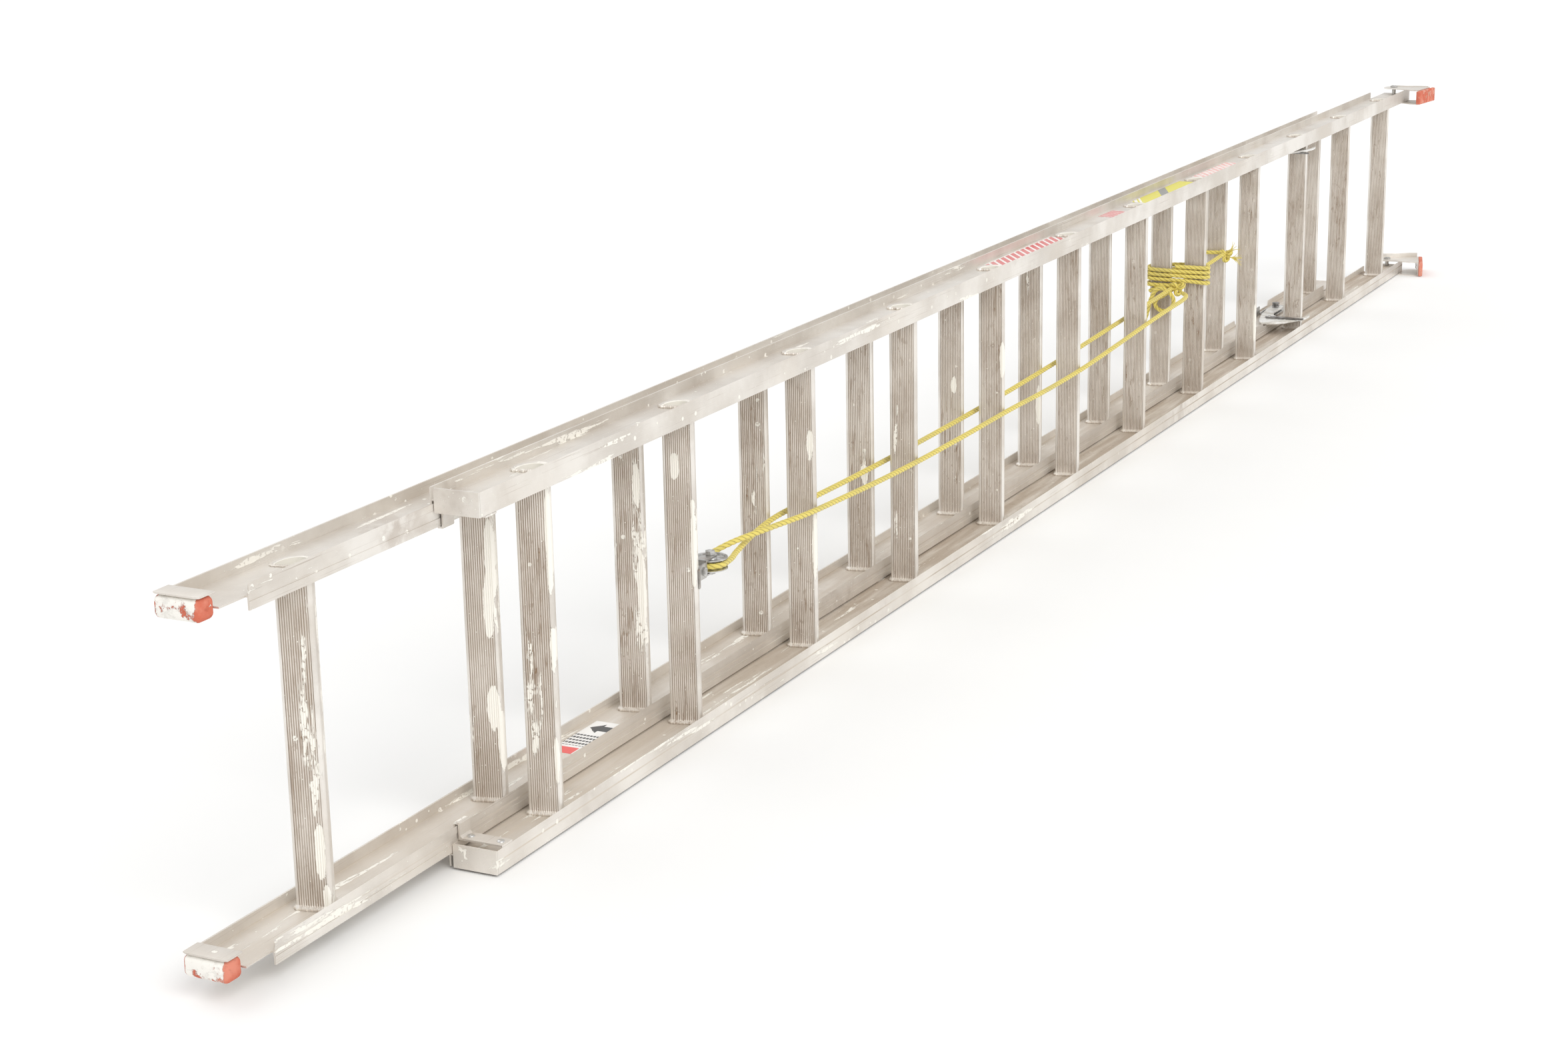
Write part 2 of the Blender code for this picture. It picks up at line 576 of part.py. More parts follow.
def strap_and_hanger(steel, zinc):
    """A band round the rung with two ears that hold the hanger bolt."""
    half = STRAP_HEIGHT / 2
    cheek = CHEEK_WIDTH / 2 + CHEEK_CLEARANCE
    at_rung = place((PULLEY_RUNG - 1) * RUNG_PITCH, 0, PULLEY_LEVEL)
    band = prism("pulley_strap", [d_outline(GAP + STRAP_WALL)], -half, half, steel, at_rung)
    tip = HANGER_REACH + EAR_OVERHANG
    ears = blocks("pulley_strap_ears", [((0, y, -half * 0.8), (tip, y + STRAP_WALL, half * 0.8))
                                        for y in (-cheek - STRAP_WALL, cheek)], None, pulley_point(0, 0, 0), CUTTERS)
    inside = prism("pulley_strap_inside", [d_outline(GAP)], -STRAP_HEIGHT, STRAP_HEIGHT, None, at_rung,
                   collection=CUTTERS)
    bolt_hole = rod("hanger_bolt_hole", HANGER_BOLT_RADIUS + GAP, -CHEEK_WIDTH, CHEEK_WIDTH, None,
                    pulley_point(HANGER_REACH, 0, 0), "Y", 14, CUTTERS)
    boolean(band, ears, "UNION")
    boolean(band, inside, "DIFFERENCE")
    boolean(band, bolt_hole, "DIFFERENCE")
    outer = cheek + STRAP_WALL + GAP
    bolt = rod("pulley_hanger_bolt", HANGER_BOLT_RADIUS, -outer - 0.0025, outer + 0.0025, zinc,
               pulley_point(HANGER_REACH, 0, 0), "Y", 14)
    for name, low, high in (("front", -outer - 0.0022, -outer), ("back", outer, outer + 0.0022)):
        head = rod(f"hanger_bolt_{name}", HANGER_BOLT_RADIUS * 1.8, low, high, None,
                   pulley_point(HANGER_REACH, 0, 0), "Y", 6, CUTTERS)
        boolean(bolt, head, "UNION")


def pulley_housing(steel, zinc):
    """A strip bent into two cheeks, with an eye on the hanger bolt at its crown."""
    low = SHEAVE_HALF + CHEEK_CLEARANCE
    high = low + CHEEK_WALL
    half = CHEEK_WIDTH / 2
    reach = PULLEY_REACH - HANGER_REACH
    crown = reach - SHEAVE_GROOVE - 2 * ROPE_RADIUS - 0.0030
    tip = reach + half
    strip = [(crown - CHEEK_WALL, -high), (tip, -high), (tip, -low), (crown, -low), (crown, low), (tip, low),
             (tip, high), (crown - CHEEK_WALL, high)]
    where = pulley_point(HANGER_REACH, 0, 0)
    housing = prism("pulley_housing", [strip], -half, half, steel, where, "Y")
    neck = EYE_RADIUS * 0.6
    outline = circle(EYE_RADIUS, 12, (0, 0), 0.6, 2 * math.pi - 1.2) + [(crown, -neck), (crown, neck)]
    eye = prism("pulley_eye", [outline], -half, half, None, where, "Y", CUTTERS)
    bore = rod("pulley_eye_bore", HANGER_BOLT_RADIUS + GAP, -CHEEK_WIDTH, CHEEK_WIDTH, None, where, "Y", 14, CUTTERS)
    nose = circle(half, 9, (reach, 0), -math.pi / 2, math.pi) + [(crown - 2 * half, half), (crown - 2 * half, -half)]
    nose = prism("pulley_nose", [nose], -2 * high, 2 * high, None, where, collection=CUTTERS)
    hole = rod("pulley_axle_hole", AXLE_RADIUS + GAP, -2 * high, 2 * high, None, pulley_point(PULLEY_REACH, 0, 0),
               sides=14, collection=CUTTERS)
    boolean(housing, eye, "UNION")
    boolean(housing, nose, "INTERSECT")
    boolean(housing, bore, "DIFFERENCE")
    boolean(housing, hole, "DIFFERENCE")
    axle = rod("pulley_axle", AXLE_RADIUS, -high - 0.0045, high + 0.0045, zinc, pulley_point(PULLEY_REACH, 0, 0),
               sides=14)
    for name, start, end in (("nut", -high - GAP - 0.0032, -high - GAP), ("head", high + GAP, high + GAP + 0.0042)):
        end_piece = rod(f"pulley_axle_{name}", AXLE_RADIUS * 1.9, start, end, None, pulley_point(PULLEY_REACH, 0, 0),
                        sides=6, collection=CUTTERS)
        boolean(axle, end_piece, "UNION")


def sheave(zinc):
    """A grooved wheel, turned about the axle."""
    bore, rim = AXLE_RADIUS + GAP, SHEAVE_HALF - SHEAVE_RIM
    profile = [(bore, SHEAVE_HALF), (SHEAVE_GROOVE * 0.55, SHEAVE_HALF), (SHEAVE_GROOVE * 0.6, rim),
               (SHEAVE_RADIUS - 0.0035, rim), (SHEAVE_RADIUS - 0.003, SHEAVE_HALF), (SHEAVE_RADIUS, SHEAVE_HALF),
               (SHEAVE_RADIUS, SHEAVE_HALF - 0.0012), (SHEAVE_GROOVE + 0.0012, ROPE_RADIUS * 0.75),
               (SHEAVE_GROOVE, 0)]
    profile += [(r, -z) for r, z in reversed(profile[:-1])]
    mesh = bpy.data.meshes.new("pulley_wheel")
    count = len(profile)
    edges = [(i, (i + 1) % count) for i in range(count)]
    mesh.from_pydata([(r, 0, z) for r, z in profile], edges, [])
    obj = link(bpy.data.objects.new("pulley_wheel", mesh), zinc)
    obj.location = pulley_point(PULLEY_REACH, 0, 0)
    screw = obj.modifiers.new("turned", "SCREW")
    screw.steps = screw.render_steps = 24
    screw.use_merge_vertices = True
    screw.merge_threshold = 0.00001


def smooth(points, spacing):
    """Points along a Catmull-Rom curve through the given ones, about one spacing apart."""
    whole = [2 * points[0] - points[1], *points, 2 * points[-1] - points[-2]]
    out = []
    for p0, p1, p2, p3 in zip(whole, whole[1:], whole[2:], whole[3:]):
        steps = max(1, round((p2 - p1).length / spacing))
        for i in range(steps):
            t = i / steps
            out.append(0.5 * (2 * p1 + (p2 - p0) * t + (2 * p0 - 5 * p1 + 4 * p2 - p3) * t * t
                              + (3 * p1 - p0 - 3 * p2 + p3) * t ** 3))
    return out + [points[-1]]


# The rope's own points, from the first base rung, the base rails' centre and the lower base web
REAR_RUN = [(2.368, 0.0262, 0.1975), (2.250, 0.0245, 0.1935), (2.110, 0.0234, 0.1885), (1.960, 0.0234, 0.1830),
            (1.800, 0.0234, 0.1775), (1.600, 0.0234, 0.1705), (1.400, 0.0234, 0.1650), (1.200, 0.0234, 0.1620),
            (1.000, 0.0234, 0.1610), (0.820, 0.0234, 0.1620), (0.660, 0.0234, 0.1650), (0.580, 0.0224, 0.1660),
            (0.500, 0.0110, 0.1665), (0.430, -0.0040, 0.1665), (0.395, -0.0150, 0.1685)]
FRONT_RUN = [(0.395, 0.0105, 0.1722), (0.430, -0.0010, 0.1780), (0.500, -0.0165, 0.1795), (0.570, -0.0270, 0.1785),
             (0.660, -0.0275, 0.1745), (0.780, -0.0272, 0.1695), (0.914, -0.0270, 0.1665), (1.070, -0.0272, 0.1660),
             (1.219, -0.0270, 0.1665), (1.370, -0.0272, 0.1650), (1.524, -0.0270, 0.1670), (1.680, -0.0272, 0.1740),
             (1.829, -0.0272, 0.1815), (1.930, -0.0265, 0.1850), (2.000, -0.0235, 0.1850), (2.050, -0.0140, 0.1835),
             (2.078, 0.0020, 0.1825)]


def rope(yellow):
    """The rope's plain solids: the runs behind and in front of the base rungs, the lashing and the knot."""
    wheel = Vector(((PULLEY_RUNG - 1) * RUNG_PITCH + PULLEY_REACH, PULLEY_SIDE, PULLEY_LEVEL))
    turn = SHEAVE_GROOVE + ROPE_RADIUS + 3 * GAP
    around = [wheel + Vector((turn * math.cos(a), turn * math.sin(a), 0))
              for a in (math.radians(-90 - 180 * i / 8) for i in range(9))]
    rear = smooth([Vector(p) for p in REAR_RUN] + [around[0]], 0.035)
    straight = [around[-1] + Vector((x, 0, 0)) for x in (0.004, 0.004 + GAP, 0.010)]
    tube("rope_rear_run", rear + around[1:] + straight[:1], yellow)
    front = smooth([straight[2]] + [Vector(p) for p in FRONT_RUN], 0.030)
    tube("rope_front_run", straight[1:2] + front, yellow)
    lashing(yellow)
    fly_knot(yellow)


def tube(name, points, mat):
    wire(name, [tuple(p) for p in points], ROPE_RADIUS, mat, place(0, 0, 0), 2)


def hull(points):
    return [points[i] for i in convex_hull_2d(points)]


def lashing(yellow):
    """The outer shape of the turns that tie a base rung and a fly rung together: a band with a hole."""
    rings = []
    for offset in (2 * GAP + 2 * ROPE_RADIUS, 2 * GAP):
        both = []
        for number, x, y in ((LASHED_BASE_RUNG, 0, 0), (LASHED_FLY_RUNG, FLY_X, FLY_Y)):
            both += [(a + x + (number - 1) * RUNG_PITCH, b + y) for a, b in d_outline(offset)]
        rings.append(hull(both))
    half = LASHING_TURNS * ROPE_RADIUS
    band = prism("rope_lashing", [rings[0]], LASHING_LEVEL - half, LASHING_LEVEL + half, yellow, place(0, 0, 0))
    inside = prism("rope_lashing_inside", [rings[1]], LASHING_LEVEL - 2 * half, LASHING_LEVEL + 2 * half, None,
                   place(0, 0, 0), collection=CUTTERS)
    boolean(band, inside, "DIFFERENCE")


def fly_knot(yellow):
    """The knot beside the fly rung that the rope is tied to."""
    shape = bmesh.new()
    bmesh.ops.create_uvsphere(shape, u_segments=12, v_segments=8, radius=KNOT_RADIUS)
    x = FLY_X + (KNOT_RUNG - 1) * RUNG_PITCH + min(a for a, _ in d_outline()) - KNOT_RADIUS - GAP * 2
    mesh_object("rope_knot", shape, yellow, place(x, 0.0310, 0.1990))


def shade():
    for obj in bpy.data.collections[PARTS].objects:
        if obj.type == "MESH":
            obj.data.shade_smooth()
            obj.data.set_sharp_from_angle(angle=math.radians(35))


def main():
    clear_scene()
    aluminium = finish("weathered_aluminium", (0.66, 0.64, 0.60), 0.45, 0.8)
    steel = finish("plated_steel", (0.55, 0.55, 0.54), 0.4, 0.9)
    dark_steel = finish("dull_steel", (0.32, 0.31, 0.30), 0.5, 0.8)
    zinc = finish("zinc_plate", (0.62, 0.62, 0.62), 0.35, 0.9)
    red_rubber = finish("red_rubber", (0.62, 0.16, 0.09), 0.75, 0.0)
    yellow = finish("yellow_rope", (0.82, 0.68, 0.16), 0.6, 0.0)
    base_section(aluminium)
    end_plates(aluminium)
    guide_brackets(aluminium)
    fly_section(aluminium)
    end_caps(red_rubber)
    shoes(aluminium, red_rubber, steel)
    rung_locks(steel, dark_steel)
    pulley(steel, zinc)
    rope(yellow)
    shade()


main()
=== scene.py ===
import math

import bpy
import numpy as np
from mathutils import Matrix, Vector


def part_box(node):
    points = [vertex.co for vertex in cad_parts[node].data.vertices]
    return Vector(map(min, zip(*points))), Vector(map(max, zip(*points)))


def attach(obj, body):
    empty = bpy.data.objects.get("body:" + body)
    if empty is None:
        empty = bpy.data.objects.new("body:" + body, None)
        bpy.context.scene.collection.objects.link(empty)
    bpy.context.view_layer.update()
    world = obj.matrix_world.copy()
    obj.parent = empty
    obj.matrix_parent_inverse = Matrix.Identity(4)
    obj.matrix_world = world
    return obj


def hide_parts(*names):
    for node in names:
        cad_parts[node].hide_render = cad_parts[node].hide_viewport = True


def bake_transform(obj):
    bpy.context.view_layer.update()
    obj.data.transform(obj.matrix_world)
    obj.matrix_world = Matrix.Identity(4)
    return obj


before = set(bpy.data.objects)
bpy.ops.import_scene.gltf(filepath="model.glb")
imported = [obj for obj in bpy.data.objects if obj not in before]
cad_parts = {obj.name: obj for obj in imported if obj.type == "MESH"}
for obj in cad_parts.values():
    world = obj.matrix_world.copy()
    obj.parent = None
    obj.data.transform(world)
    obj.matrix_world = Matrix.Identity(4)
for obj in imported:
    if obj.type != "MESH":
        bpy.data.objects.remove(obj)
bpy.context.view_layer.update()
print("frame loaded")


def box(node):
    low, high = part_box(node)
    return np.array(low), np.array(high)


def middle(node):
    low, high = box(node)
    return (low + high) / 2


# Places are counted from the first base rung's axis, on the base rails' centre line and the lower base web
rungStep = (box("base_rung_12")[0][0] - box("base_rung_01")[0][0]) / 11
railEnd = 0.141
start = np.array([box("base_rail_lower")[0][0] + railEnd, *middle("base_rail_lower")[1:]])
webSpan = middle("base_rail_upper")[2] - start[2]
flyShift = box("fly_rung_01")[0] - box("base_rung_01")[0]
flyWeb = middle("fly_rail_lower")[2] - start[2]
webWall = 0.0018


def at(x, y, z):
    return start + np.array([x, y, z])


class Shade:
    # A socket of a material that can be added, multiplied and compared like a number

    def __init__(self, tree, socket=None):
        self.tree = tree
        self.socket = socket

    def node(self, kind, settings=(), sockets=(), out=0):
        made = self.tree.nodes.new(kind)
        for name, value in dict(settings).items():
            setattr(made, name, value)
        for name, value in dict(sockets).items():
            self.plug(made.inputs[name], value)
        return Shade(self.tree, made.outputs[out])

    def plug(self, entry, value):
        if isinstance(value, Shade):
            self.tree.links.new(value.socket, entry)
        elif isinstance(value, tuple) and entry.type == "RGBA":
            entry.default_value = (*value, 1)
        else:
            entry.default_value = value

    def sum(self, operation, *values):
        return self.node("ShaderNodeMath", {"operation": operation}, enumerate(values))

    def __add__(self, other):
        return self.sum("ADD", self, other)

    def __sub__(self, other):
        return self.sum("SUBTRACT", self, other)

    def __rsub__(self, other):
        return self.sum("SUBTRACT", other, self)

    def __mul__(self, other):
        return self.sum("MULTIPLY", self, other)

    __radd__ = __add__
    __rmul__ = __mul__

    def most(self, other):
        return self.sum("MAXIMUM", self, other)

    def step(self, low, high):
        # 0 below low, 1 above high, smooth between; high may be the smaller one
        sockets = {"Value": self, "From Min": low, "From Max": high}
        return self.node("ShaderNodeMapRange", {"interpolation_type": "SMOOTHSTEP"}, sockets)

    def mix(self, first, second):
        # this socket's share of the second colour over the first
        names = {0: self, 6: first, 7: second}
        return self.node("ShaderNodeMix", {"data_type": "RGBA"}, names, out=2)

    def stretch(self, scale, move=(0, 0, 0)):
        return self.node("ShaderNodeMapping", {}, {"Vector": self, "Scale": scale, "Location": move})

    def part(self, axis):
        return self.node("ShaderNodeSeparateXYZ", {}, {0: self}, out=axis)

    def noise(self, scale, detail=4.0, rough=0.55):
        sockets = {"Vector": self, "Scale": scale, "Detail": detail, "Roughness": rough}
        return self.node("ShaderNodeTexNoise", {}, sockets)

    def cells(self, scale):
        return self.node("ShaderNodeTexVoronoi", {}, {"Vector": self, "Scale": scale})

    def cellColour(self, scale):
        return self.node("ShaderNodeTexVoronoi", {}, {"Vector": self, "Scale": scale}, out="Color")

    def bump(self, height, distance):
        return self.node("ShaderNodeBump", {}, {"Height": height, "Distance": distance, "Strength": 1.0})


def finish(name, fixed, make):
    # fixed holds the sockets that are the same all over; make(object coordinates) gives the others
    mat = bpy.data.materials.new(name)
    mat.use_nodes = True
    shader = mat.node_tree.nodes["Principled BSDF"]
    here = Shade(mat.node_tree)
    place = here.node("ShaderNodeTexCoord", out="Object")
    for entry, value in {**fixed, **make(place)}.items():
        here.plug(shader.inputs[entry], value)
    return mat


def attribute(place, name):
    return place.node("ShaderNodeAttribute", {"attribute_name": name}, out="Fac")


paint = {"colour": (0.89, 0.86, 0.79), "smear": 0.655, "nearEnd": -0.75, "fade": 1.5}


def paintOn(place, stretched):
    # White paint: long smears and round spatter, thick where X is lowest and thinning out along the ladder
    along = place.part(0)
    near = along.step(paint["nearEnd"] + paint["fade"], paint["nearEnd"] - 0.6)
    patch = place.stretch(stretched).noise(1.0, 5.0, 0.62)
    level = paint["smear"] + 0.035 - near * 0.085
    smear = (patch - level).step(0.0, 0.012)
    drop = place.cells(75.0)
    size = place.cellColour(75.0).part(0)
    rare = place.cellColour(75.0).part(1).step(0.84, 0.86)
    dots = (size * 0.2 + 0.04 - drop).step(0.0, 0.02) * rare
    fine = (0.16 - place.cells(210.0)).step(0.0, 0.03) * place.cellColour(210.0).part(2).step(0.8, 0.81)
    worn = place.noise(260.0, 3.0).step(0.36, 0.44)
    return smear.most(dots * (near * 0.7 + 0.3)).most(fine * (near * 0.6 + 0.4)) * worn


metal = {"clean": (0.86, 0.825, 0.775), "dull": (0.69, 0.645, 0.59), "bright": (0.93, 0.92, 0.9),
         "dirt": (0.26, 0.175, 0.11), "dust": (0.62, 0.545, 0.455)}


def weathered(place, stretched, grimeOver=None, dustOver=None, paintOver=None, blotches=9.0):
    # Dull aluminium with long scratches, grey blotches, dust, grime and paint
    blotch = place.noise(blotches, 6.0).step(0.35, 0.68)
    scratch = place.stretch(stretched).noise(14.0, 5.0, 0.7)
    rubbed = place.stretch(stretched).noise(31.0, 4.0, 0.6).step(0.62, 0.7)
    grime = place.noise(3.2, 5.0).step(0.58, 0.76) * place.noise(40.0, 4.0).step(0.4, 0.62) * 0.8
    dust = place.noise(5.5, 5.0).step(0.42, 0.72) * 0.35
    if grimeOver is not None:
        grime = grime.most(grimeOver)
    if dustOver is not None:
        dust = dust.most(dustOver)
    over = paintOn(place, stretched)
    if paintOver is not None:
        over = over.most(paintOver)
    bare = blotch.mix(metal["clean"], metal["dull"])
    bare = (scratch.step(0.58, 0.72) * 0.4).mix(bare, metal["bright"])
    bare = dust.mix(bare, metal["dust"])
    bare = (grime * 0.8).mix(bare, metal["dirt"])
    bare = (rubbed * 0.35).mix(bare, metal["bright"])
    rough = blotch * 0.12 + scratch * 0.16 + grime * 0.2 + dust * 0.2 + 0.3
    return {
        "Base Color": over.mix(bare, paint["colour"]),
        "Metallic": (1 - over) * (1 - grime.most(dust) * 0.8) * 0.72,
        "Roughness": over * 0.3 + rough,
        "Normal": place.bump(over * 1.0 + scratch * 0.1, 0.0004),
    }


def railMetal(place):
    # Rails: fine lines along them, and dark streaks on the flanges' outer faces
    streak = place.stretch((1.1, 90.0, 90.0)).noise(6.0, 5.0, 0.6).step(0.6, 0.74)
    return weathered(place, (5.0, 60.0, 60.0), grimeOver=streak * 0.45)


def lowerWebMetal(place):
    # Grime has settled on the upward faces inside the lower rails, and dust on the flanges' inner faces
    z = place.part(2)
    level = float(start[2]) + webWall / 2
    low = z.step(level + 0.0016, level + 0.0004) * z.step(level - 0.0012, level - 0.0004)
    fly = float(start[2]) + float(flyWeb) + webWall / 2
    high = z.step(fly + 0.0016, fly + 0.0004) * z.step(fly - 0.0012, fly - 0.0004)
    stain = place.stretch((1.6, 22.0, 1.0)).noise(3.0, 6.0).step(0.34, 0.62)
    far = place.part(0).step(-1.6, -0.6)
    streak = place.stretch((1.1, 90.0, 90.0)).noise(6.0, 5.0, 0.6).step(0.6, 0.74)
    speck = place.noise(170.0, 4.0).step(0.58, 0.7)
    grime = low.most(high * 0.5) * (stain * 0.55 + speck * 0.2) * far
    return weathered(place, (5.0, 60.0, 60.0), grimeOver=grime.most(streak * 0.4),
                     dustOver=low.most(high * 0.7) * (stain * 0.4 + 0.45))


def rungMetal(place):
    # Dirt fills the grooves of the tread and stains it in patches; the round side stays bright; the tube's
    # inner wall is painted white all over as painted light that brightens the inside
    groove = attribute(place, "groove")
    tread = attribute(place, "tread")
    blob = attribute(place, "blob")
    patchy = place.stretch((8.0, 8.0, 3.0)).noise(2.4, 5.0).step(0.34, 0.68)
    speck = place.stretch((1.0, 1.0, 0.25)).noise(260.0, 4.0).step(0.5, 0.66)
    broken = place.stretch((1.0, 1.0, 0.12)).noise(120.0, 3.0).step(0.34, 0.52)
    filled = groove.step(0.2, 0.75) * (patchy * 0.35 + 0.65) * (broken * 0.4 + 0.6)
    line = place.stretch((1.0, 1.0, 0.09)).noise(230.0, 4.0).step(0.56, 0.64)
    worse = place.stretch((1.0, 1.0, 0.6)).noise(11.0, 5.0).step(0.44, 0.62)
    fleck = place.stretch((1.0, 1.0, 0.5)).noise(150.0, 3.0).step(0.62, 0.68)
    spots = patchy * (speck * 0.4 + 0.15) + line * (worse * 0.6 + 0.12) + fleck * (worse * 0.4 + 0.2)
    stain = tread * spots
    # blob is 1 all over the inner wall, so there the white paint is painted light
    ragged = blob + (place.stretch((1.0, 1.0, 0.6)).noise(60.0, 6.0, 0.7) - 0.5) * 1.9
    return weathered(place, (42.0, 42.0, 7.0), grimeOver=filled.most(stain), dustOver=tread * 0.35,
                     paintOver=ragged.step(0.42, 0.46) * blob.step(0.02, 0.1), blotches=14.0)


aluminium = finish("weatheredAluminium", {}, railMetal)
lowerAluminium = finish("grimyLowerRail", {}, lowerWebMetal)
rungAluminium = finish("ribbedRungAluminium", {}, rungMetal)


def steelParts(place):
    stain = place.noise(55.0, 5.0).step(0.45, 0.65)
    rust = place.noise(120.0, 4.0).step(0.6, 0.7)
    colour = stain.mix((0.55, 0.54, 0.52), (0.36, 0.34, 0.32))
    colour = (rust * 0.5).mix(colour, (0.28, 0.15, 0.08))
    return {"Base Color": colour, "Metallic": 0.9 - rust * 0.6, "Roughness": stain * 0.2 + 0.34}


def hookMetal(place):
    # Pale pressed plate with random stains and a fine grain
    stain = place.noise(45.0, 5.0).step(0.42, 0.66)
    grain = place.noise(300.0, 3.0)
    colour = stain.mix((0.86, 0.85, 0.82), (0.6, 0.57, 0.51))
    return {"Base Color": colour, "Metallic": 0.55 - stain * 0.3, "Roughness": stain * 0.2 + 0.36,
            "Normal": place.bump(grain, 0.0002)}


def stained(scale, low, high, first, second, spread, rough):
    # Plain metal with stains of a second colour
    def make(place):
        stain = place.noise(scale, 5.0).step(low, high)
        return {"Base Color": stain.mix(first, second), "Roughness": stain * spread + rough}

    return make


def redRubber(place):
    # Red rubber, chalky on the raised places, with scuffs and pale grit
    chalk = place.noise(35.0, 5.0).step(0.42, 0.6)
    scuff = place.noise(95.0, 5.0, 0.7).step(0.52, 0.6)
    grit = place.noise(60.0, 4.0).step(0.6, 0.68)
    colour = (chalk * 0.55).mix((0.6, 0.15, 0.09), (0.78, 0.36, 0.27))
    colour = (scuff * 0.45).mix(colour, (0.8, 0.52, 0.42))
    colour = (grit * 0.55).mix(colour, (0.47, 0.42, 0.33))
    return {"Base Color": colour, "Roughness": chalk * 0.15 + 0.72,
            "Normal": place.bump(chalk + scuff * 0.6, 0.0006)}


def paintedRubber(place):
    # Cream paint over red rubber, crazed and rubbed dark in the middle; the ends are bare
    share = attribute(place, "middle")
    chalk = place.noise(35.0, 5.0).step(0.42, 0.6)
    edge = place.noise(70.0, 6.0, 0.7)
    blob = place.noise(48.0, 4.0).step(0.54, 0.58) * 0.6
    cream = (share.most(blob) + (edge - 0.5) * 0.7).step(0.52, 0.58)
    craze = place.stretch((1.0, 0.35, 1.0)).noise(150.0, 5.0, 0.7).step(0.6, 0.66)
    rubbed = place.stretch((1.0, 0.6, 1.0)).noise(120.0, 5.0, 0.75).step(0.5, 0.6) * share.step(0.45, 0.9)
    colour = (chalk * 0.5).mix((0.6, 0.15, 0.09), (0.76, 0.34, 0.25))
    pale = (rubbed * 0.75).mix((0.9, 0.875, 0.82), (0.35, 0.32, 0.29))
    pale = (craze * 0.4).mix(pale, (0.62, 0.55, 0.47))
    return {"Base Color": cream.mix(colour, pale), "Roughness": 0.78 - cream * 0.15,
            "Normal": place.bump(cream + chalk * 0.4 - craze * 0.4, 0.0006)}


def printed(paper, print1, print2=None, wear=(60.0, 0.6, 0.68), bare=0.7, strength=(1.0, 1.0), rough=0.42):
    # A worn sticker: ink is 1 where it has the first print and -1 where it has the second; scuffs show metal
    def make(place):
        ink = attribute(place, "ink")
        scale, low, high = wear
        worn = place.stretch((1.0, 2.2, 1.0)).noise(scale, 6.0, 0.7).step(low, high)
        fade = place.noise(24.0, 5.0).step(0.35, 0.75)
        amount = fade * (strength[1] - strength[0]) + strength[0]
        shade = (ink.step(0.5, 0.5001) * amount).mix(paper, print1)
        if print2:
            shade = ink.step(-0.4, -0.5).mix(shade, print2)
        return {"Base Color": (worn * bare).mix(shade, metal["clean"]), "Roughness": worn * 0.15 + rough}

    return make


def yellowRope(place):
    # Painted light on the strands' crowns and painted shade where they meet, from the crown attribute; grime
    # greys some stretches
    crown = attribute(place, "crown")
    fibre = attribute(place, "fibre")
    grime = place.noise(14.0, 5.0).step(0.48, 0.7)
    # crown share 1 takes the painted-light yellow, 0 the painted-shade brown between the strands
    colour = crown.step(0.05, 0.62).mix((0.27, 0.19, 0.015), (0.76, 0.62, 0.115))
    colour = (fibre * 0.25).mix(colour, (0.86, 0.78, 0.33))
    colour = (grime * 0.3).mix(colour, (0.44, 0.39, 0.17))
    return {"Base Color": colour, "Normal": place.bump(fibre, 0.0002)}


steel = finish("platedSteel", {}, steelParts)
hookSteel = finish("castHookSteel", {}, hookMetal)
darkSteel = stained(80.0, 0.4, 0.65, (0.34, 0.33, 0.32), (0.16, 0.15, 0.14), 0.2, 0.4)
dark = finish("oiledSteel", {"Metallic": 0.8}, darkSteel)
zincPlate = stained(90.0, 0.42, 0.66, (0.66, 0.655, 0.64), (0.42, 0.41, 0.39), 0.25, 0.28)
zinc = finish("zincPlate", {"Metallic": 0.9}, zincPlate)
rubber = finish("redRubber", {"Specular IOR Level": 0.3}, redRubber)
capRubber = finish("paintedCapRubber", {"Specular IOR Level": 0.3}, paintedRubber)
redPrint = printed((0.88, 0.86, 0.83), (0.66, 0.075, 0.075), strength=(0.75, 1.0))
redLabel = finish("redBarSticker", {}, redPrint)
fadedPrint = printed((0.86, 0.8, 0.77), (0.8, 0.28, 0.25), wear=(46.0, 0.5, 0.62), bare=0.75,
                     strength=(0.6, 0.6), rough=0.45)
fadedLabel = finish("fadedRedSticker", {}, fadedPrint)
yellowPrint = printed((0.74, 0.68, 0.11), (0.3, 0.3, 0.29), (0.9, 0.885, 0.86),
                      wear=(60.0, 0.62, 0.7), rough=0.45)
yellowLabel = finish("yellowSticker", {}, yellowPrint)
arrowPrint = printed((0.9, 0.885, 0.86), (0.07, 0.07, 0.07), (0.82, 0.12, 0.11), bare=0.6)
arrowLabel = finish("arrowSticker", {}, arrowPrint)
ropeYellow = finish("yellowRope", {"Roughness": 0.55, "Sheen Weight": 0.15}, yellowRope)
print("finishes made")


def surface(name, grid, mat, closeAcross=True, closeAlong=False, capped=False, values=()):
    # A grid of points, rows along the piece and columns across it, joined into quads; values are attributes
    rows, columns = grid.shape[:2]
    index = np.arange(rows * columns).reshape(rows, columns)
    if closeAlong:
        index = np.vstack([index, index[:1]])
    if closeAcross:
        index = np.hstack([index, index[:, :1]])
    a, b = index[:-1, :-1], index[:-1, 1:]
    c, d = index[1:, 1:], index[1:, :-1]
    faces = np.stack([a, b, c, d], axis=-1).reshape(-1, 4).tolist()
    if capped:
        faces += [list(range(columns))[::-1], list(range((rows - 1) * columns, rows * columns))]
    return solid(name, grid.reshape(-1, 3), faces, mat, values)


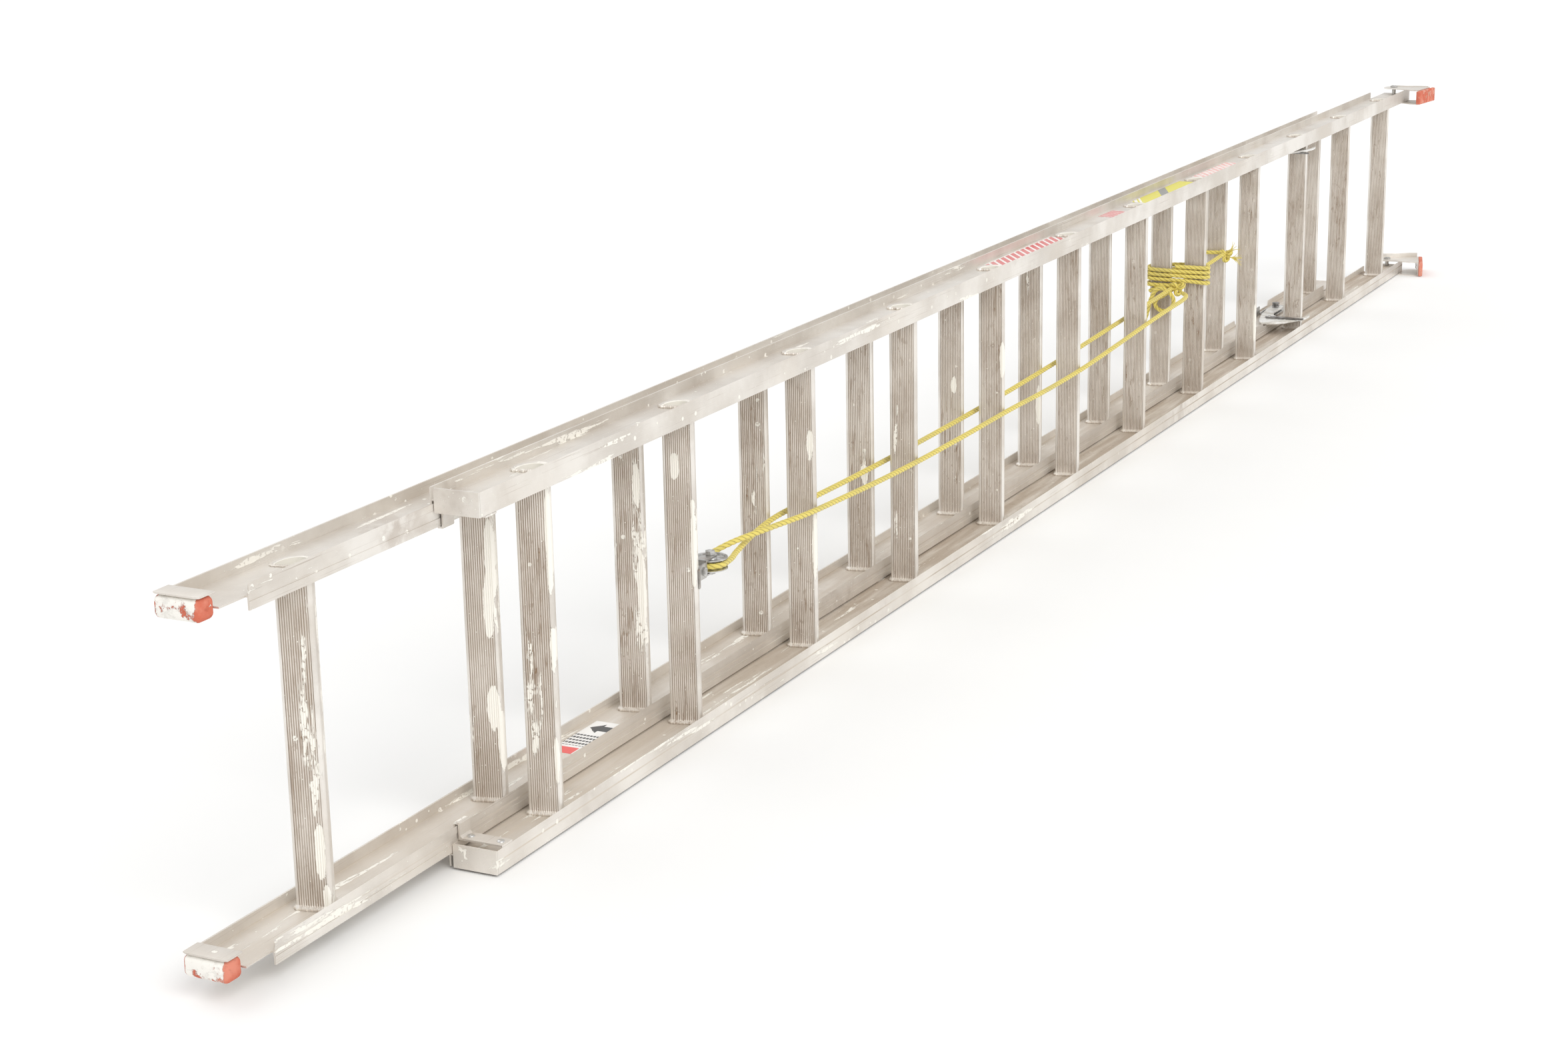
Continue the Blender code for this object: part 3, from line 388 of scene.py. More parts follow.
def solid(name, points, faces, mat, values=()):
    mesh = bpy.data.meshes.new(name)
    mesh.from_pydata(points.tolist(), [], faces)
    for label, amounts in dict(values).items():
        layer = mesh.attributes.new(label, "FLOAT", "POINT")
        layer.data.foreach_set("value", np.asarray(amounts, dtype=np.float32).ravel())
    mesh.shade_smooth()
    mesh.set_sharp_from_angle(angle=math.radians(40))
    mesh.materials.append(mat)
    mesh.update()
    obj = bpy.data.objects.new(name, mesh)
    bpy.context.scene.collection.objects.link(obj)
    return obj


def unit(vectors):
    return vectors / np.maximum(np.linalg.norm(vectors, axis=-1, keepdims=True), 1e-12)


def walked(points):
    # The length from the first point to each point
    return np.concatenate([[0], np.cumsum(np.linalg.norm(np.diff(points, axis=0), axis=1))])


def resample(points, count):
    gone = walked(points)
    wanted = np.linspace(0, gone[-1], count)
    return np.stack([np.interp(wanted, gone, points[:, k]) for k in range(points.shape[1])], axis=1)


def spline(points, step):
    # A Catmull-Rom curve through the points, then sampled evenly, one step apart
    p = np.asarray(points, float)
    p = np.vstack([2 * p[0] - p[1], p, 2 * p[-1] - p[-2]])
    t = np.linspace(0, 1, 40, endpoint=False)[None, :, None]
    p0, p1, p2, p3 = (p[i:len(p) - 3 + i, None, :] for i in range(4))
    square = 2 * p0 - 5 * p1 + 4 * p2 - p3
    cube = 3 * p1 - p0 - 3 * p2 + p3
    curve = 0.5 * (2 * p1 + (p2 - p0) * t + square * t**2 + cube * t**3)
    curve = np.vstack([curve.reshape(-1, p.shape[1]), p[-2]])
    count = max(3, int(round(walked(curve)[-1] / step)) + 1)
    return resample(curve, count)


def ring(radius, count):
    turn = np.arange(count) * 2 * math.pi / count
    return np.stack([np.cos(turn), np.sin(turn)], axis=1) * radius


def lathe(name, profile, centre, mat, sides):
    # A profile of (radius, height) pairs turned about the upright line through centre
    profile = np.asarray(profile, float)
    grid = np.zeros((len(profile), sides, 3))
    grid[..., :2] = profile[:, None, 0, None] * ring(1.0, sides)[None]
    grid[..., 2] = profile[:, None, 1]
    return surface(name, grid + centre, mat, capped=True)


def roundedBlock(name, low, high, radius, mat, steps=6):
    # A sphere's points, each moved out to its corner of the inner box, so that flats join round edges
    low, high = np.asarray(low, float), np.asarray(high, float)
    quarter = (np.arange(steps) + 0.5) / steps * math.pi / 2
    around = np.concatenate([quarter + k * math.pi / 2 for k in range(4)])
    up = np.concatenate([-quarter[::-1], quarter])
    a, e = np.meshgrid(around, up)
    ball = np.stack([np.cos(a) * np.cos(e), np.sin(a) * np.cos(e), np.sin(e)], axis=-1)
    inner = (high - low) / 2 - radius
    grid = (low + high) / 2 + np.sign(ball) * inner + ball * radius
    return surface(name, grid, mat, capped=True)


def twiceArea(outline):
    # Positive when the outline is walked anticlockwise
    after = np.roll(outline, -1, 0)
    return np.sum(outline[:, 0] * after[:, 1] - after[:, 0] * outline[:, 1])


def outward(outline):
    # The direction out of a closed flat outline at each of its points
    along = unit(np.roll(outline, -1, 0) - np.roll(outline, 1, 0))
    out = np.stack([along[:, 1], -along[:, 0]], axis=1)
    return out * (1 if twiceArea(outline) > 0 else -1)


def plate(name, outline, low, high, mat, edge=0.0006):
    # A flat outline with its edge rounded over at both faces; rows are the outline drawn in and moved up
    outline = np.asarray(outline, float)
    turn = np.linspace(0, math.pi / 2, 4)
    inset = np.concatenate([edge * (1 - np.sin(turn)), edge * (1 - np.cos(turn))])
    level = np.concatenate([low + edge * (1 - np.cos(turn)), high - edge * (1 - np.sin(turn))])
    grid = np.zeros((len(inset), len(outline), 3))
    grid[..., :2] = outline[None] - outward(outline)[None] * inset[:, None, None]
    grid[..., 2] = level[:, None]
    if twiceArea(outline) <= 0:
        grid = grid[:, ::-1]
    return surface(name, grid, mat, capped=True)


def fixRide(piece, body, *nodes, slot=None):
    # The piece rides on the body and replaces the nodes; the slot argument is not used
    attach(piece, body)
    if nodes:
        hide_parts(*nodes)
    return piece


rope = {"radius": 0.0035, "lay": 0.026, "sides": 18, "step": 0.0022, "groove": 0.26}


def tubeGrid(path, side, over, angle, radius):
    # Rows of points round the path: radius * (cos(angle) * side + sin(angle) * over)
    beside = np.cos(angle)[None, :, None] * side[:, None]
    above = np.sin(angle)[None, :, None] * over[:, None]
    return path[:, None] + radius * (beside + above)


def ropeTube(name, path, up=(0, 0, 1), taper=None):
    # Three strands: at angle a and length s the surface stands at R * (1.02 - groove * v^1.6),
    # where v = 1 - |cos(1.5 * (a - 2 * pi * s / lay))| is 0 on a strand's crown and 1 where two strands meet
    tangent = unit(np.gradient(path, axis=0))
    side = unit(np.cross(np.broadcast_to(np.asarray(up, float), tangent.shape), tangent))
    over = np.cross(tangent, side)
    gone = walked(path)
    angle = np.arange(rope["sides"]) * 2 * math.pi / rope["sides"]
    turned = angle[None] - gone[:, None] * 2 * math.pi / rope["lay"]
    valley = 1 - np.abs(np.cos(1.5 * turned))
    radius = rope["radius"] * (1.02 - rope["groove"] * valley**1.6)
    if taper is not None:
        radius = radius * np.interp(gone / gone[-1], *zip(*taper))[:, None]
    grid = tubeGrid(path, side, over, angle, radius[..., None])
    grain = 0.5 + 0.5 * np.sin(turned * 9 + gone[:, None] * 1400)
    # crown carries the painted light and shade of the strands: 1 on a crown, 0 where two strands meet
    values = {"crown": 1 - valley, "fibre": grain}
    piece = surface(name, grid, ropeYellow, capped=True, values=values)
    return piece


wheelMiddle = middle("pulley_wheel") - start
wheel = {"x": wheelMiddle[0], "y": wheelMiddle[1], "z": wheelMiddle[2], "turn": 0.0174}

# Where the rope goes: from the knot to the wheel, and from the wheel to the lashing
rearRoute = [(2.368, 0.0262, 0.1975), (2.25, 0.0245, 0.1935), (2.11, 0.0234, 0.1885), (1.96, 0.0234, 0.183),
             (1.8, 0.0234, 0.1775), (1.6, 0.0234, 0.1705), (1.4, 0.0234, 0.165), (1.2, 0.0234, 0.162),
             (1.0, 0.0234, 0.161), (0.82, 0.0234, 0.162), (0.66, 0.0234, 0.165), (0.58, 0.0224, 0.166),
             (0.5, 0.011, 0.1665), (0.43, -0.004, 0.1665), (0.395, -0.015, 0.1685)]
frontRoute = [(0.395, 0.0105, 0.1722), (0.43, -0.001, 0.178), (0.5, -0.0165, 0.1795), (0.57, -0.027, 0.1785),
              (0.66, -0.0275, 0.1745), (0.78, -0.0272, 0.1695), (0.914, -0.027, 0.1665),
              (1.07, -0.0272, 0.166),
              (1.219, -0.027, 0.1665), (1.37, -0.0272, 0.165), (1.524, -0.027, 0.167), (1.68, -0.0272, 0.174),
              (1.829, -0.0272, 0.1815), (1.93, -0.0265, 0.185), (2.0, -0.0235, 0.185), (2.05, -0.014, 0.1835),
              (2.078, 0.002, 0.1825)]


def ropeRuns():
    turns = np.radians(np.linspace(-90, -270, 13))
    around = [(wheel["x"] + wheel["turn"] * math.cos(a), wheel["y"] + wheel["turn"] * math.sin(a), wheel["z"])
              for a in turns]
    offWheel = (around[-1][0] + 0.004, around[-1][1], around[-1][2])
    rear = spline([at(*p) for p in rearRoute + around], rope["step"])
    front = spline([at(*p) for p in [offWheel] + frontRoute], rope["step"])
    rearRope = ropeTube("ropeRearRun", rear)
    frontRope = ropeTube("ropeFrontRun", front)
    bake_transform(rearRope)
    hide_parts("rope_rear_run")
    fixRide(frontRope, "base", "rope_front_run")


ropeRuns()
print("rope runs laid")


def turnLeft(a, b, c):
    # Positive where the walk from a over b to c turns left
    return (b[0] - a[0]) * (c[1] - a[1]) - (b[1] - a[1]) * (c[0] - a[0])


def hullPoints(points):
    # The convex outline round the points, walked anticlockwise
    order = sorted(map(tuple, points))

    def half(chain):
        kept = []
        for p in chain:
            while len(kept) > 1 and turnLeft(kept[-2], kept[-1], p) <= 0:
                kept.pop()
            kept.append(p)
        return kept[:-1]

    return np.array(half(order) + half(order[::-1]))


lashing = {"turns": 3.0, "top": 0.2225, "drop": 0.0078, "lowest": 0.1905, "off": 0.0043, "knotX": 2.0905,
           "step": 0.002, "end": 4.02, "fall": 0.45, "slope": 0.0026}


def ropeRing(outlines, side):
    # A closed path a little outside the outlines, from its lowest X near the given Y, walked anticlockwise
    ringPath = hullPoints(np.vstack(outlines))
    ringPath = ringPath + outward(ringPath) * lashing["off"]
    ringPath = np.vstack([ringPath, ringPath[:1]])
    ringPath = resample(ringPath, int(walked(ringPath)[-1] / lashing["step"]) + 1)[:-1]
    first = int(np.argmin(ringPath[:, 0] + 0.6 * np.abs(ringPath[:, 1] - side)))
    ringPath = np.roll(ringPath, -first, axis=0)
    return 0.5 * ringPath + 0.25 * (np.roll(ringPath, 1, 0) + np.roll(ringPath, -1, 0))


def lashingTurns():
    # Round the eighth base rung and the ninth fly rung: three close turns, then one that falls lower
    outline, _ = rungOutline()
    base, flySide = 7 * rungStep, 8 * rungStep
    ringPath = ropeRing([outline + (base, 0), outline + (flySide + flyShift[0], flyShift[1])], 0.022)
    count = len(ringPath)
    share = np.arange(0, lashing["end"], 1 / count)
    closed = np.vstack([ringPath, ringPath[:1]])
    place = share % 1 * count
    walk = np.stack([np.interp(place, np.arange(count + 1), closed[:, k]) for k in (0, 1)], axis=1)
    # height: even pitch over the close turns, a smooth fall in the next half turn, then level
    fall = np.clip((share - lashing["turns"]) / lashing["fall"], 0, 1)
    fall = fall * fall * (3 - 2 * fall)
    close = lashing["top"] - lashing["drop"] * np.minimum(share, lashing["turns"])
    # the turns slope: higher behind the rungs than in front of them
    slope = lashing["slope"] * np.clip((walk[:, 1] - 0.012) / 0.053, -1, 1)
    height = close * (1 - fall) + lashing["lowest"] * fall + slope * (1 - fall * 0.3)
    return np.column_stack([walk, height])


def wander(name, points, body, nodes=(), taper=None, up=(1, 0, 0)):
    # A rope through the points; without a far end it isn't declared as a cord
    path = spline([at(*p) for p in points], 0.0016)
    piece = ropeTube(name, path, up=up, taper=taper)
    fixRide(piece, body, *nodes)
    return piece


def knotLoop(centre, deep, size):
    # A trefoil: deep * sin 3t along X, and along Y and Z size * (sin t + 1.15 sin 2t, cos t - 1.15 cos 2t)
    t = np.linspace(0, 2 * math.pi, 15)[:-1]
    shape = np.stack([deep * np.sin(3 * t), size * (np.sin(t) + 1.15 * np.sin(2 * t)),
                      size * (np.cos(t) - 1.15 * np.cos(2 * t))], axis=1) + centre
    return np.vstack([shape, shape[:1] + (0.0012, 0.001, 0)])


def lashingAndKnots():
    turns = lashingTurns() + start
    piece = ropeTube("ropeLashing", turns)
    fixRide(piece, "base", "rope_lashing")
    # a knot on the near side of the turns
    x = lashing["knotX"]
    wander("ropeHitch", knotLoop((x - 0.0006, 0.0135, 0.1885), 0.0042, 0.0052), "base")
    front = x - 0.0035
    # the loop and the tail: down from the hitch, round once, over the first stretch, and down to the bare end
    loop = [(x + 0.001, 0.015, 0.192), (front - 0.001, 0.026, 0.183), (front - 0.002, 0.0386, 0.1742),
            (front - 0.0015, 0.0485, 0.168), (front - 0.0015, 0.052, 0.1585), (front - 0.001, 0.044, 0.1495),
            (front - 0.001, 0.031, 0.1492), (front - 0.003, 0.0205, 0.159), (front - 0.0055, 0.0188, 0.1715),
            (front - 0.0085, 0.0265, 0.183), (front - 0.009, 0.0389, 0.188), (front - 0.0085, 0.05, 0.1825),
            (front - 0.0065, 0.059, 0.1646), (front - 0.0045, 0.0649, 0.1426), (front - 0.003, 0.0705, 0.128)]
    wander("ropeLoop", loop, "base", taper=[(0, 1), (0.95, 1), (0.98, 1.12), (1, 0.75)])
    # the free stretch from the low turn up to the hitch, beside the turns
    lead = [(x + 0.002, 0.064, 0.18), (x - 0.001, 0.052, 0.1855), (x - 0.001, 0.036, 0.1905),
            (x, 0.022, 0.19)]
    wander("ropeLead", lead, "base")
    flyKnot()


def flyKnot():
    # The rope's end goes once round fly rung 10, to a knot with two frayed ends
    carried = 9 * rungStep + flyShift[0]
    x = carried - 0.0235
    knot = knotLoop((x - 0.001, 0.0235, 0.196), 0.004, 0.005)
    tied = wander("ropeFlyKnot", knot, "fly", nodes=("rope_knot",))
    outline, _ = rungOutline()
    turn = ropeRing([outline + (carried, flyShift[1])], 0.03)
    turn = np.vstack([turn, turn[:1]])[::-1]
    height = 0.1985 - 0.006 * np.linspace(0, 1, len(turn)) ** 2
    path = np.column_stack([turn, height]) + start
    piece = ropeTube("ropeTie", path)
    fixRide(piece, "fly")
    neck = [(x - 0.024, 0.0262, 0.1975), (x - 0.015, 0.0258, 0.1976), (x - 0.006, 0.025, 0.1974),
            (x, 0.024, 0.1968)]
    wander("ropeKnotNeck", neck, "fly", up=(0, 0, 1))
    frayed("ropeFrayUpper", (x - 0.003, 0.019, 0.201), (x - 0.008, 0.002, 0.2145), 9)
    frayed("ropeFrayLower", (x - 0.003, 0.016, 0.1925), (x - 0.01, -0.008, 0.19), 13)


# litShareAndGrain gives the loose fibres both their painted-light share and their grain
fray = {"rows": 12, "sides": 5, "radius": 0.00095, "thinner": 0.72, "spread": 0.42, "litShareAndGrain": 0.9}


def frayed(name, root, tip, count):
    # Loose fibres in a fan: each bends away by a fixed pattern of angles and gets thinner to its end
    root, tip = at(*root), at(*tip)
    along = tip - root
    side = unit(np.cross(along, (1.0, 0, 0)))
    rows, sides = fray["rows"], fray["sides"]
    t = np.linspace(0, 1, rows)[:, None]
    turn = np.arange(sides) * 2 * math.pi / sides
    index = np.arange(rows * sides).reshape(rows, sides)
    beside = np.roll(index, -1, 1)
    quads = np.stack([index[:-1], beside[:-1], beside[1:], index[1:]], axis=-1).reshape(-1, 4)
    pieces, faces = [], []
    for number in range(count):
        swing = (number / (count - 1) - 0.5) * 2
        bend = side * (swing * fray["spread"] + 0.12 * math.sin(number * 2.4)) * np.linalg.norm(along)
        lift = np.array([1.0, 0, 0]) * 0.004 * math.cos(number * 1.9)
        line = root + along * t * (0.82 + 0.18 * math.cos(number * 3.1)) + bend * t**2.2 + lift * t
        tangent = unit(np.gradient(line, axis=0))
        a = unit(np.cross(tangent, (1.0, 0.2, 0.1)))
        b = np.cross(tangent, a)
        radius = fray["radius"] * (1 - fray["thinner"] * t)
        grid = tubeGrid(line, a, b, turn, radius[:, None])
        place = number * rows * sides
        faces += (quads + place).tolist()
        faces += [(index[0, ::-1] + place).tolist(), (index[-1] + place).tolist()]
        pieces.append(grid.reshape(-1, 3))
    points = np.vstack(pieces)
    # the fibres take nearly the full painted light of the strands' crowns
    litShareAndGrain = np.full(len(points), fray["litShareAndGrain"])
    piece = solid(name, points, faces, ropeYellow, {"crown": litShareAndGrain, "fibre": litShareAndGrain})
    fixRide(piece, "fly", slot="yellow_rope")


view = {"azimuth": -63.443, "elevation": 15.291, "roll": -1.096, "lens": 62.06,
        "place": (-2.2327, -1.3962, 1.021)}


def camera():
    az, el, roll = (math.radians(view[k]) for k in ("azimuth", "elevation", "roll"))
    back = np.array([math.sin(az) * math.cos(el), -math.cos(az) * math.cos(el), math.sin(el)])
    right = unit(np.cross(-back, (0, 0, 1)))
    up = np.cross(back, right)
    turned = math.cos(roll) * right + math.sin(roll) * up
    upright = math.cos(roll) * up - math.sin(roll) * right
    made = bpy.data.cameras.new("camera")
    made.lens, made.sensor_width = view["lens"], 36
    made.clip_end = 100
    obj = bpy.data.objects.new("camera", made)
    turn = np.eye(4)
    turn[:3, 0], turn[:3, 1], turn[:3, 2], turn[:3, 3] = turned, upright, back, at(*view["place"])
    obj.matrix_world = Matrix(turn.tolist())
    bpy.context.scene.collection.objects.link(obj)
    bpy.context.scene.camera = obj


def softSun(name, toward, strength, spread, colour):
    # A sun as wide as the angle given, so its shadows are soft; it shines from the direction given
    data = bpy.data.lights.new(name, "SUN")
    data.energy, data.angle, data.color = strength, math.radians(spread), colour
    light = bpy.data.objects.new(name, data)
    light.rotation_euler = Vector(toward).to_track_quat("Z", "Y").to_euler()
    bpy.context.scene.collection.objects.link(light)


def studio():
    # A pale floor, an even world and two soft suns
    def floorPaint(place):
        mottle = place.noise(0.9, 4.0).step(0.2, 0.8)
        return {"Base Color": mottle.mix((0.93, 0.93, 0.925), (0.9, 0.9, 0.895))}

    floorMat = finish("paleFloor", {"Roughness": 0.9, "Specular IOR Level": 0.2}, floorPaint)
    edge = 40.0
    corners = np.array([(-edge, -edge, 0), (edge, -edge, 0), (edge, edge, 0), (-edge, edge, 0)])
    solid("floor", corners, [[0, 1, 2, 3]], floorMat)
    world = bpy.data.worlds.new("studio")
    world.use_nodes = True
    world.node_tree.nodes["Background"].inputs["Color"].default_value = (1.0, 1.0, 1.0, 1)
    world.node_tree.nodes["Background"].inputs["Strength"].default_value = 0.79
    bpy.context.scene.world = world
    softSun("key", (-0.45, -0.8, 0.8), 1.35, 48, (1.0, 0.99, 0.97))
    softSun("rim", (0.25, 0.75, 0.85), 0.45, 55, (0.98, 0.99, 1.0))
    bpy.context.scene.view_settings.view_transform = "Standard"


camera()
studio()
print("camera and light set")


rungShape = {"width": 0.036, "depth": 0.03, "corner": 0.004, "tilt": 15.0, "shift": -0.0025, "ribs": 12,
             "ribDepth": 0.0008, "crown": 0.0006, "wall": 0.0016, "bead": 0.003, "beadHeight": 0.0042,
             "baseLip": 0.003, "flyLip": 0.0016, "knurls": 46, "knurlDepth": 0.16}


def rungOutline():
    # A ribbed tread, two round corners and half an ellipse, from (across, out) turned to the tread's tilt
    half, top, corner = rungShape["width"] / 2, rungShape["depth"] / 2, rungShape["corner"]
    flat, spring = half - corner, top - corner
    across = np.linspace(flat, -flat, rungShape["ribs"] * 6 + 1)
    wave = 0.5 - 0.5 * np.cos((across / (2 * flat) + 0.5) * 2 * math.pi * rungShape["ribs"])
    groove = (1 - wave) ** 1.5
    crown = rungShape["crown"] * (1 - (across / flat) ** 2)
    tread = np.stack([across, top + crown - rungShape["ribDepth"] * groove], axis=1)
    bend = np.linspace(math.radians(85), math.radians(5), 6)
    left = np.stack([-flat - corner * np.cos(bend), spring + corner * np.sin(bend)], axis=1)
    back = np.linspace(math.pi, 2 * math.pi, 30)
    bow = np.stack([half * np.cos(back), spring + (spring + top) * np.sin(back)], axis=1)
    right = left[::-1] * (-1, 1)
    outline = np.vstack([tread, left, bow, right])
    inGroove = np.concatenate([groove, np.zeros(len(left) + len(bow) + len(right))])
    c, s = math.cos(math.radians(rungShape["tilt"])), math.sin(math.radians(rungShape["tilt"]))
    a, t = outline[:, 0], outline[:, 1]
    turned = np.stack([-s * a - c * t, c * a - s * t + rungShape["shift"]], axis=1)
    return turned, inGroove


def rungRows(span, lip):
    # (height from the lower web's middle, how far outside the outline), from the lower lip to the inner wall
    web, bead, tall, wall = webWall / 2, rungShape["bead"], rungShape["beadHeight"], rungShape["wall"]
    under = [(-web - lip * share, out) for share, out in
             ((0.82, 0.0004), (1.0, 0.0014), (0.86, 0.0028), (0.45, 0.0035))]
    through = [(-web - 0.0001, 0.0031), (-web - 0.00005, 0.00005), (web + 0.00005, 0.00005),
               (web + 0.0001, bead * 0.8)]
    over = [(web + tall * share, bead * out) for share, out in
            ((0.25, 0.98), (0.5, 1.0), (0.75, 0.78), (0.95, 0.3), (1.25, 0.0))]
    low = under + through + over
    between = [(span * k, 0.0) for k in np.linspace(0.05, 0.95, 26)]
    mirroredRows = [(span - h, o) for h, o in reversed(low)]
    inside = [(span + web + lip * 0.5, -wall), (-web - lip * 0.5, -wall)]
    return np.array(low + between + mirroredRows + inside)


# Thick dried paint on single rungs: (height, half height, how far round from the tread's middle, half width)
paintBlobs = {
    "fly_rung_01": [(0.075, 0.035, -0.01, 0.006), (0.03, 0.02, -0.014, 0.005)],
    "fly_rung_02": [(0.275, 0.06, -0.013, 0.007), (0.225, 0.04, -0.009, 0.006), (0.118, 0.028, -0.01, 0.009),
                    (0.085, 0.04, -0.017, 0.005)],
    "base_rung_01": [(0.3, 0.07, -0.016, 0.004), (0.185, 0.03, -0.016, 0.004), (0.06, 0.03, -0.015, 0.003)],
    "base_rung_02": [(0.21, 0.06, -0.015, 0.004), (0.3, 0.018, 0.004, 0.006)],
    "base_rung_03": [(0.13, 0.05, -0.016, 0.004), (0.255, 0.022, -0.012, 0.006)],
    "fly_rung_03": [(0.16, 0.055, -0.013, 0.006), (0.28, 0.03, -0.011, 0.005)],
    "fly_rung_05": [(0.15, 0.014, -0.006, 0.007)], "base_rung_05": [(0.24, 0.03, -0.015, 0.004)],
    "fly_rung_06": [(0.205, 0.01, -0.004, 0.006)], "fly_rung_07": [(0.11, 0.04, -0.013, 0.004)],
    "base_rung_09": [(0.07, 0.045, -0.015, 0.003)]}


def blobShare(name, outline, rows, z):
    # For each blob, 1 - ((height - h) / a)^2 - ((round - r) / b)^2, no lower than 0, and the largest of them
    c, s = math.cos(math.radians(rungShape["tilt"])), math.sin(math.radians(rungShape["tilt"]))
    across = c * (outline[:, 1] - rungShape["shift"]) - s * outline[:, 0]
    outer = -c * outline[:, 0] - s * (outline[:, 1] - rungShape["shift"])
    share = np.zeros((len(rows), len(outline)))
    for height, tall, aside, wide in paintBlobs.get(name, ()):
        up = (rows[:, None] + z - height) / tall
        over = (across[None] - aside) / wide
        front = (outer > rungShape["depth"] * 0.1)[None]
        share = np.maximum(share, np.clip(1.15 - up**2 - over**2, 0, 1) * front)
    return share


def rungs():
    outline, groove = rungOutline()
    out = outward(outline)
    onTread = np.zeros(len(outline))
    onTread[:rungShape["ribs"] * 6 + 1] = 1.0
    flyRungs = [number for number in range(1, 13) if number != 11]
    sections = (("base_rung", "base", range(1, 13), np.zeros(3), 0.0, webSpan, rungShape["baseLip"]),
                ("fly_rung", "fly", flyRungs, flyShift, flyWeb, webSpan - 2 * flyWeb,
                 rungShape["flyLip"]))
    for section, body, count, base, z, span, lip in sections:
        rows = rungRows(span, lip)
        # the swaged bead is knurled: its radius rises and falls all round
        turn = np.arange(len(outline)) / len(outline) * 2 * math.pi
        knurl = 1 + rungShape["knurlDepth"] * np.sin(rungShape["knurls"] * turn)
        reach = rows[:, 1, None] * np.where(rows[:, 1, None] > 0.001, knurl[None], 1.0)
        flat = outline[None] + out[None] * reach[..., None]
        for number in count:
            name = f"{section}_{number:02d}"
            grid = np.zeros((len(rows), len(outline), 3))
            grid[..., :2] = flat + (base[:2] + np.array([(number - 1) * rungStep, 0]))
            grid[..., 2] = rows[:, 0, None] + z
            # Rows inside the tube get a blob share of 1: the whole inner wall takes the white paint, painted
            # light that brightens the inside of the tube
            outside = (rows[:, 1] > -0.0001)[:, None]
            blob = np.where(outside, blobShare(name, outline, rows[:, 0], z), 1.0)
            shares = {"groove": groove[None] * outside, "tread": onTread[None] * outside, "blob": blob}
            values = {label: share[:, ::-1] for label, share in shares.items()}
            piece = surface(f"{section.replace('_', '')}{number:02d}", grid[:, ::-1] + start, rungAluminium,
                            closeAlong=True, values=values)
            fixRide(piece, body, name, slot="aluminium")


rungs()
print("rungs drawn")
lashingAndKnots()
print("lashing and knots tied")

capShape = {"edge": 0.0062, "lipWall": 0.0018, "slit": 0.001, "inset": 0.0016, "raise": 0.0058,
            "lipLength": 0.024}


def endCaps():
    # A rubber block with rounded edges under a thin lip that lies along the rail
    for side in ("lower", "upper"):
        low, high = box(f"fly_cap_{side}")
        end = box(f"fly_rail_{side}")[0][0] - 0.0003
        wall, inset = capShape["lipWall"], capShape["inset"]
        blockLow = low + (0, inset, capShape["raise"])
        blockHigh = (end, high[1] - inset, high[2] - wall - capShape["slit"])
        block = roundedBlock(f"capBlock{side.title()}", blockLow, blockHigh, capShape["edge"], capRubber,
                             steps=7)
        points = np.empty(len(block.data.vertices) * 3)
        block.data.vertices.foreach_get("co", points)
        y = points.reshape(-1, 3)[:, 1]
        fromMiddle = (2 * y - low[1] - high[1]) / (high[1] - low[1])
        share = 1 - np.abs(fromMiddle) ** 3
        layer = block.data.attributes.new("middle", "FLOAT", "POINT")
        layer.data.foreach_set("value", share.astype(np.float32))
        fixRide(block, "fly", f"fly_cap_{side}", slot="red_rubber")
        far = low[0] + capShape["lipLength"]
        near, corner, side1, side2 = low[0] + 0.001, low[0] + 0.003, low[1] + 0.002, high[1] - 0.002
        outline = [(corner, side1), (far, side1), (far, side2), (corner, side2), (near, high[1] - 0.006),
                   (near, low[1] + 0.006)]
        lip = plate(f"capLip{side.title()}", outline, high[2] - wall, high[2], aluminium)
        fixRide(lip, "fly", slot="aluminium")


endCaps()
print("end caps made")


hanger = {"boltHead": 0.0025, "earWall": 0.0018, "overlap": 0.0016, "off": 0.0004, "out": 0.0021,
          "margin": 0.0022}


def hangerClip():
    # The clip hugs the round back of the rung, and its two ears hold the hanger bolt between them
    low, high = box("pulley_strap")
    boltLow, boltHigh = box("pulley_hanger_bolt")
    outline, _ = rungOutline()
    out = outward(outline)
    back = (out[:, 0] > 0.25) & (np.arange(len(outline)) > rungShape["ribs"] * 6)
    inner = outline[back] + out[back] * hanger["off"] + (rungStep, 0.0)
    outer = outline[back] + out[back] * hanger["out"] + (rungStep, 0.0)
    hugLine = np.vstack([outer, inner[::-1]]) + start[:2]
    hug = plate("pulleyClip", hugLine, low[2], high[2], steel, edge=0.0003)
    fixRide(hug, "base", "pulley_strap", slot="steel")
    wall, margin = hanger["earWall"], hanger["margin"]
    reach = float(outer[:, 0].max()) + start[0] - hanger["overlap"]
    front = boltLow[1] + hanger["boltHead"]
    for tag, y in (("Front", front), ("Back", boltHigh[1] - hanger["boltHead"] - wall)):
        earHigh = (high[0], y + wall, high[2] - margin)
        ear = roundedBlock(f"pulleyEar{tag}", (reach, y, low[2] + margin), earHigh, 0.0006, steel)
        fixRide(ear, "base", slot="steel")


hangerClip()


def dome(name, centre, radius, height, mat, body, slot):
    # A rivet's round head: a quarter circle turned about an upright line; a negative height points down
    turn = np.linspace(0, math.pi / 2, 6)
    profile = np.stack([radius * np.cos(turn), height * np.sin(turn)], axis=1)
    profile = np.vstack([[radius, -height * 0.15], profile[:-1], [radius * 0.02, height]])
    if height < 0:
        profile = profile[::-1]
    fixRide(lathe(name, profile, np.asarray(centre), mat, 18), body, slot=slot)


def bodyTurn(angle):
    return np.array([[math.cos(angle), -math.sin(angle)], [math.sin(angle), math.cos(angle)]])


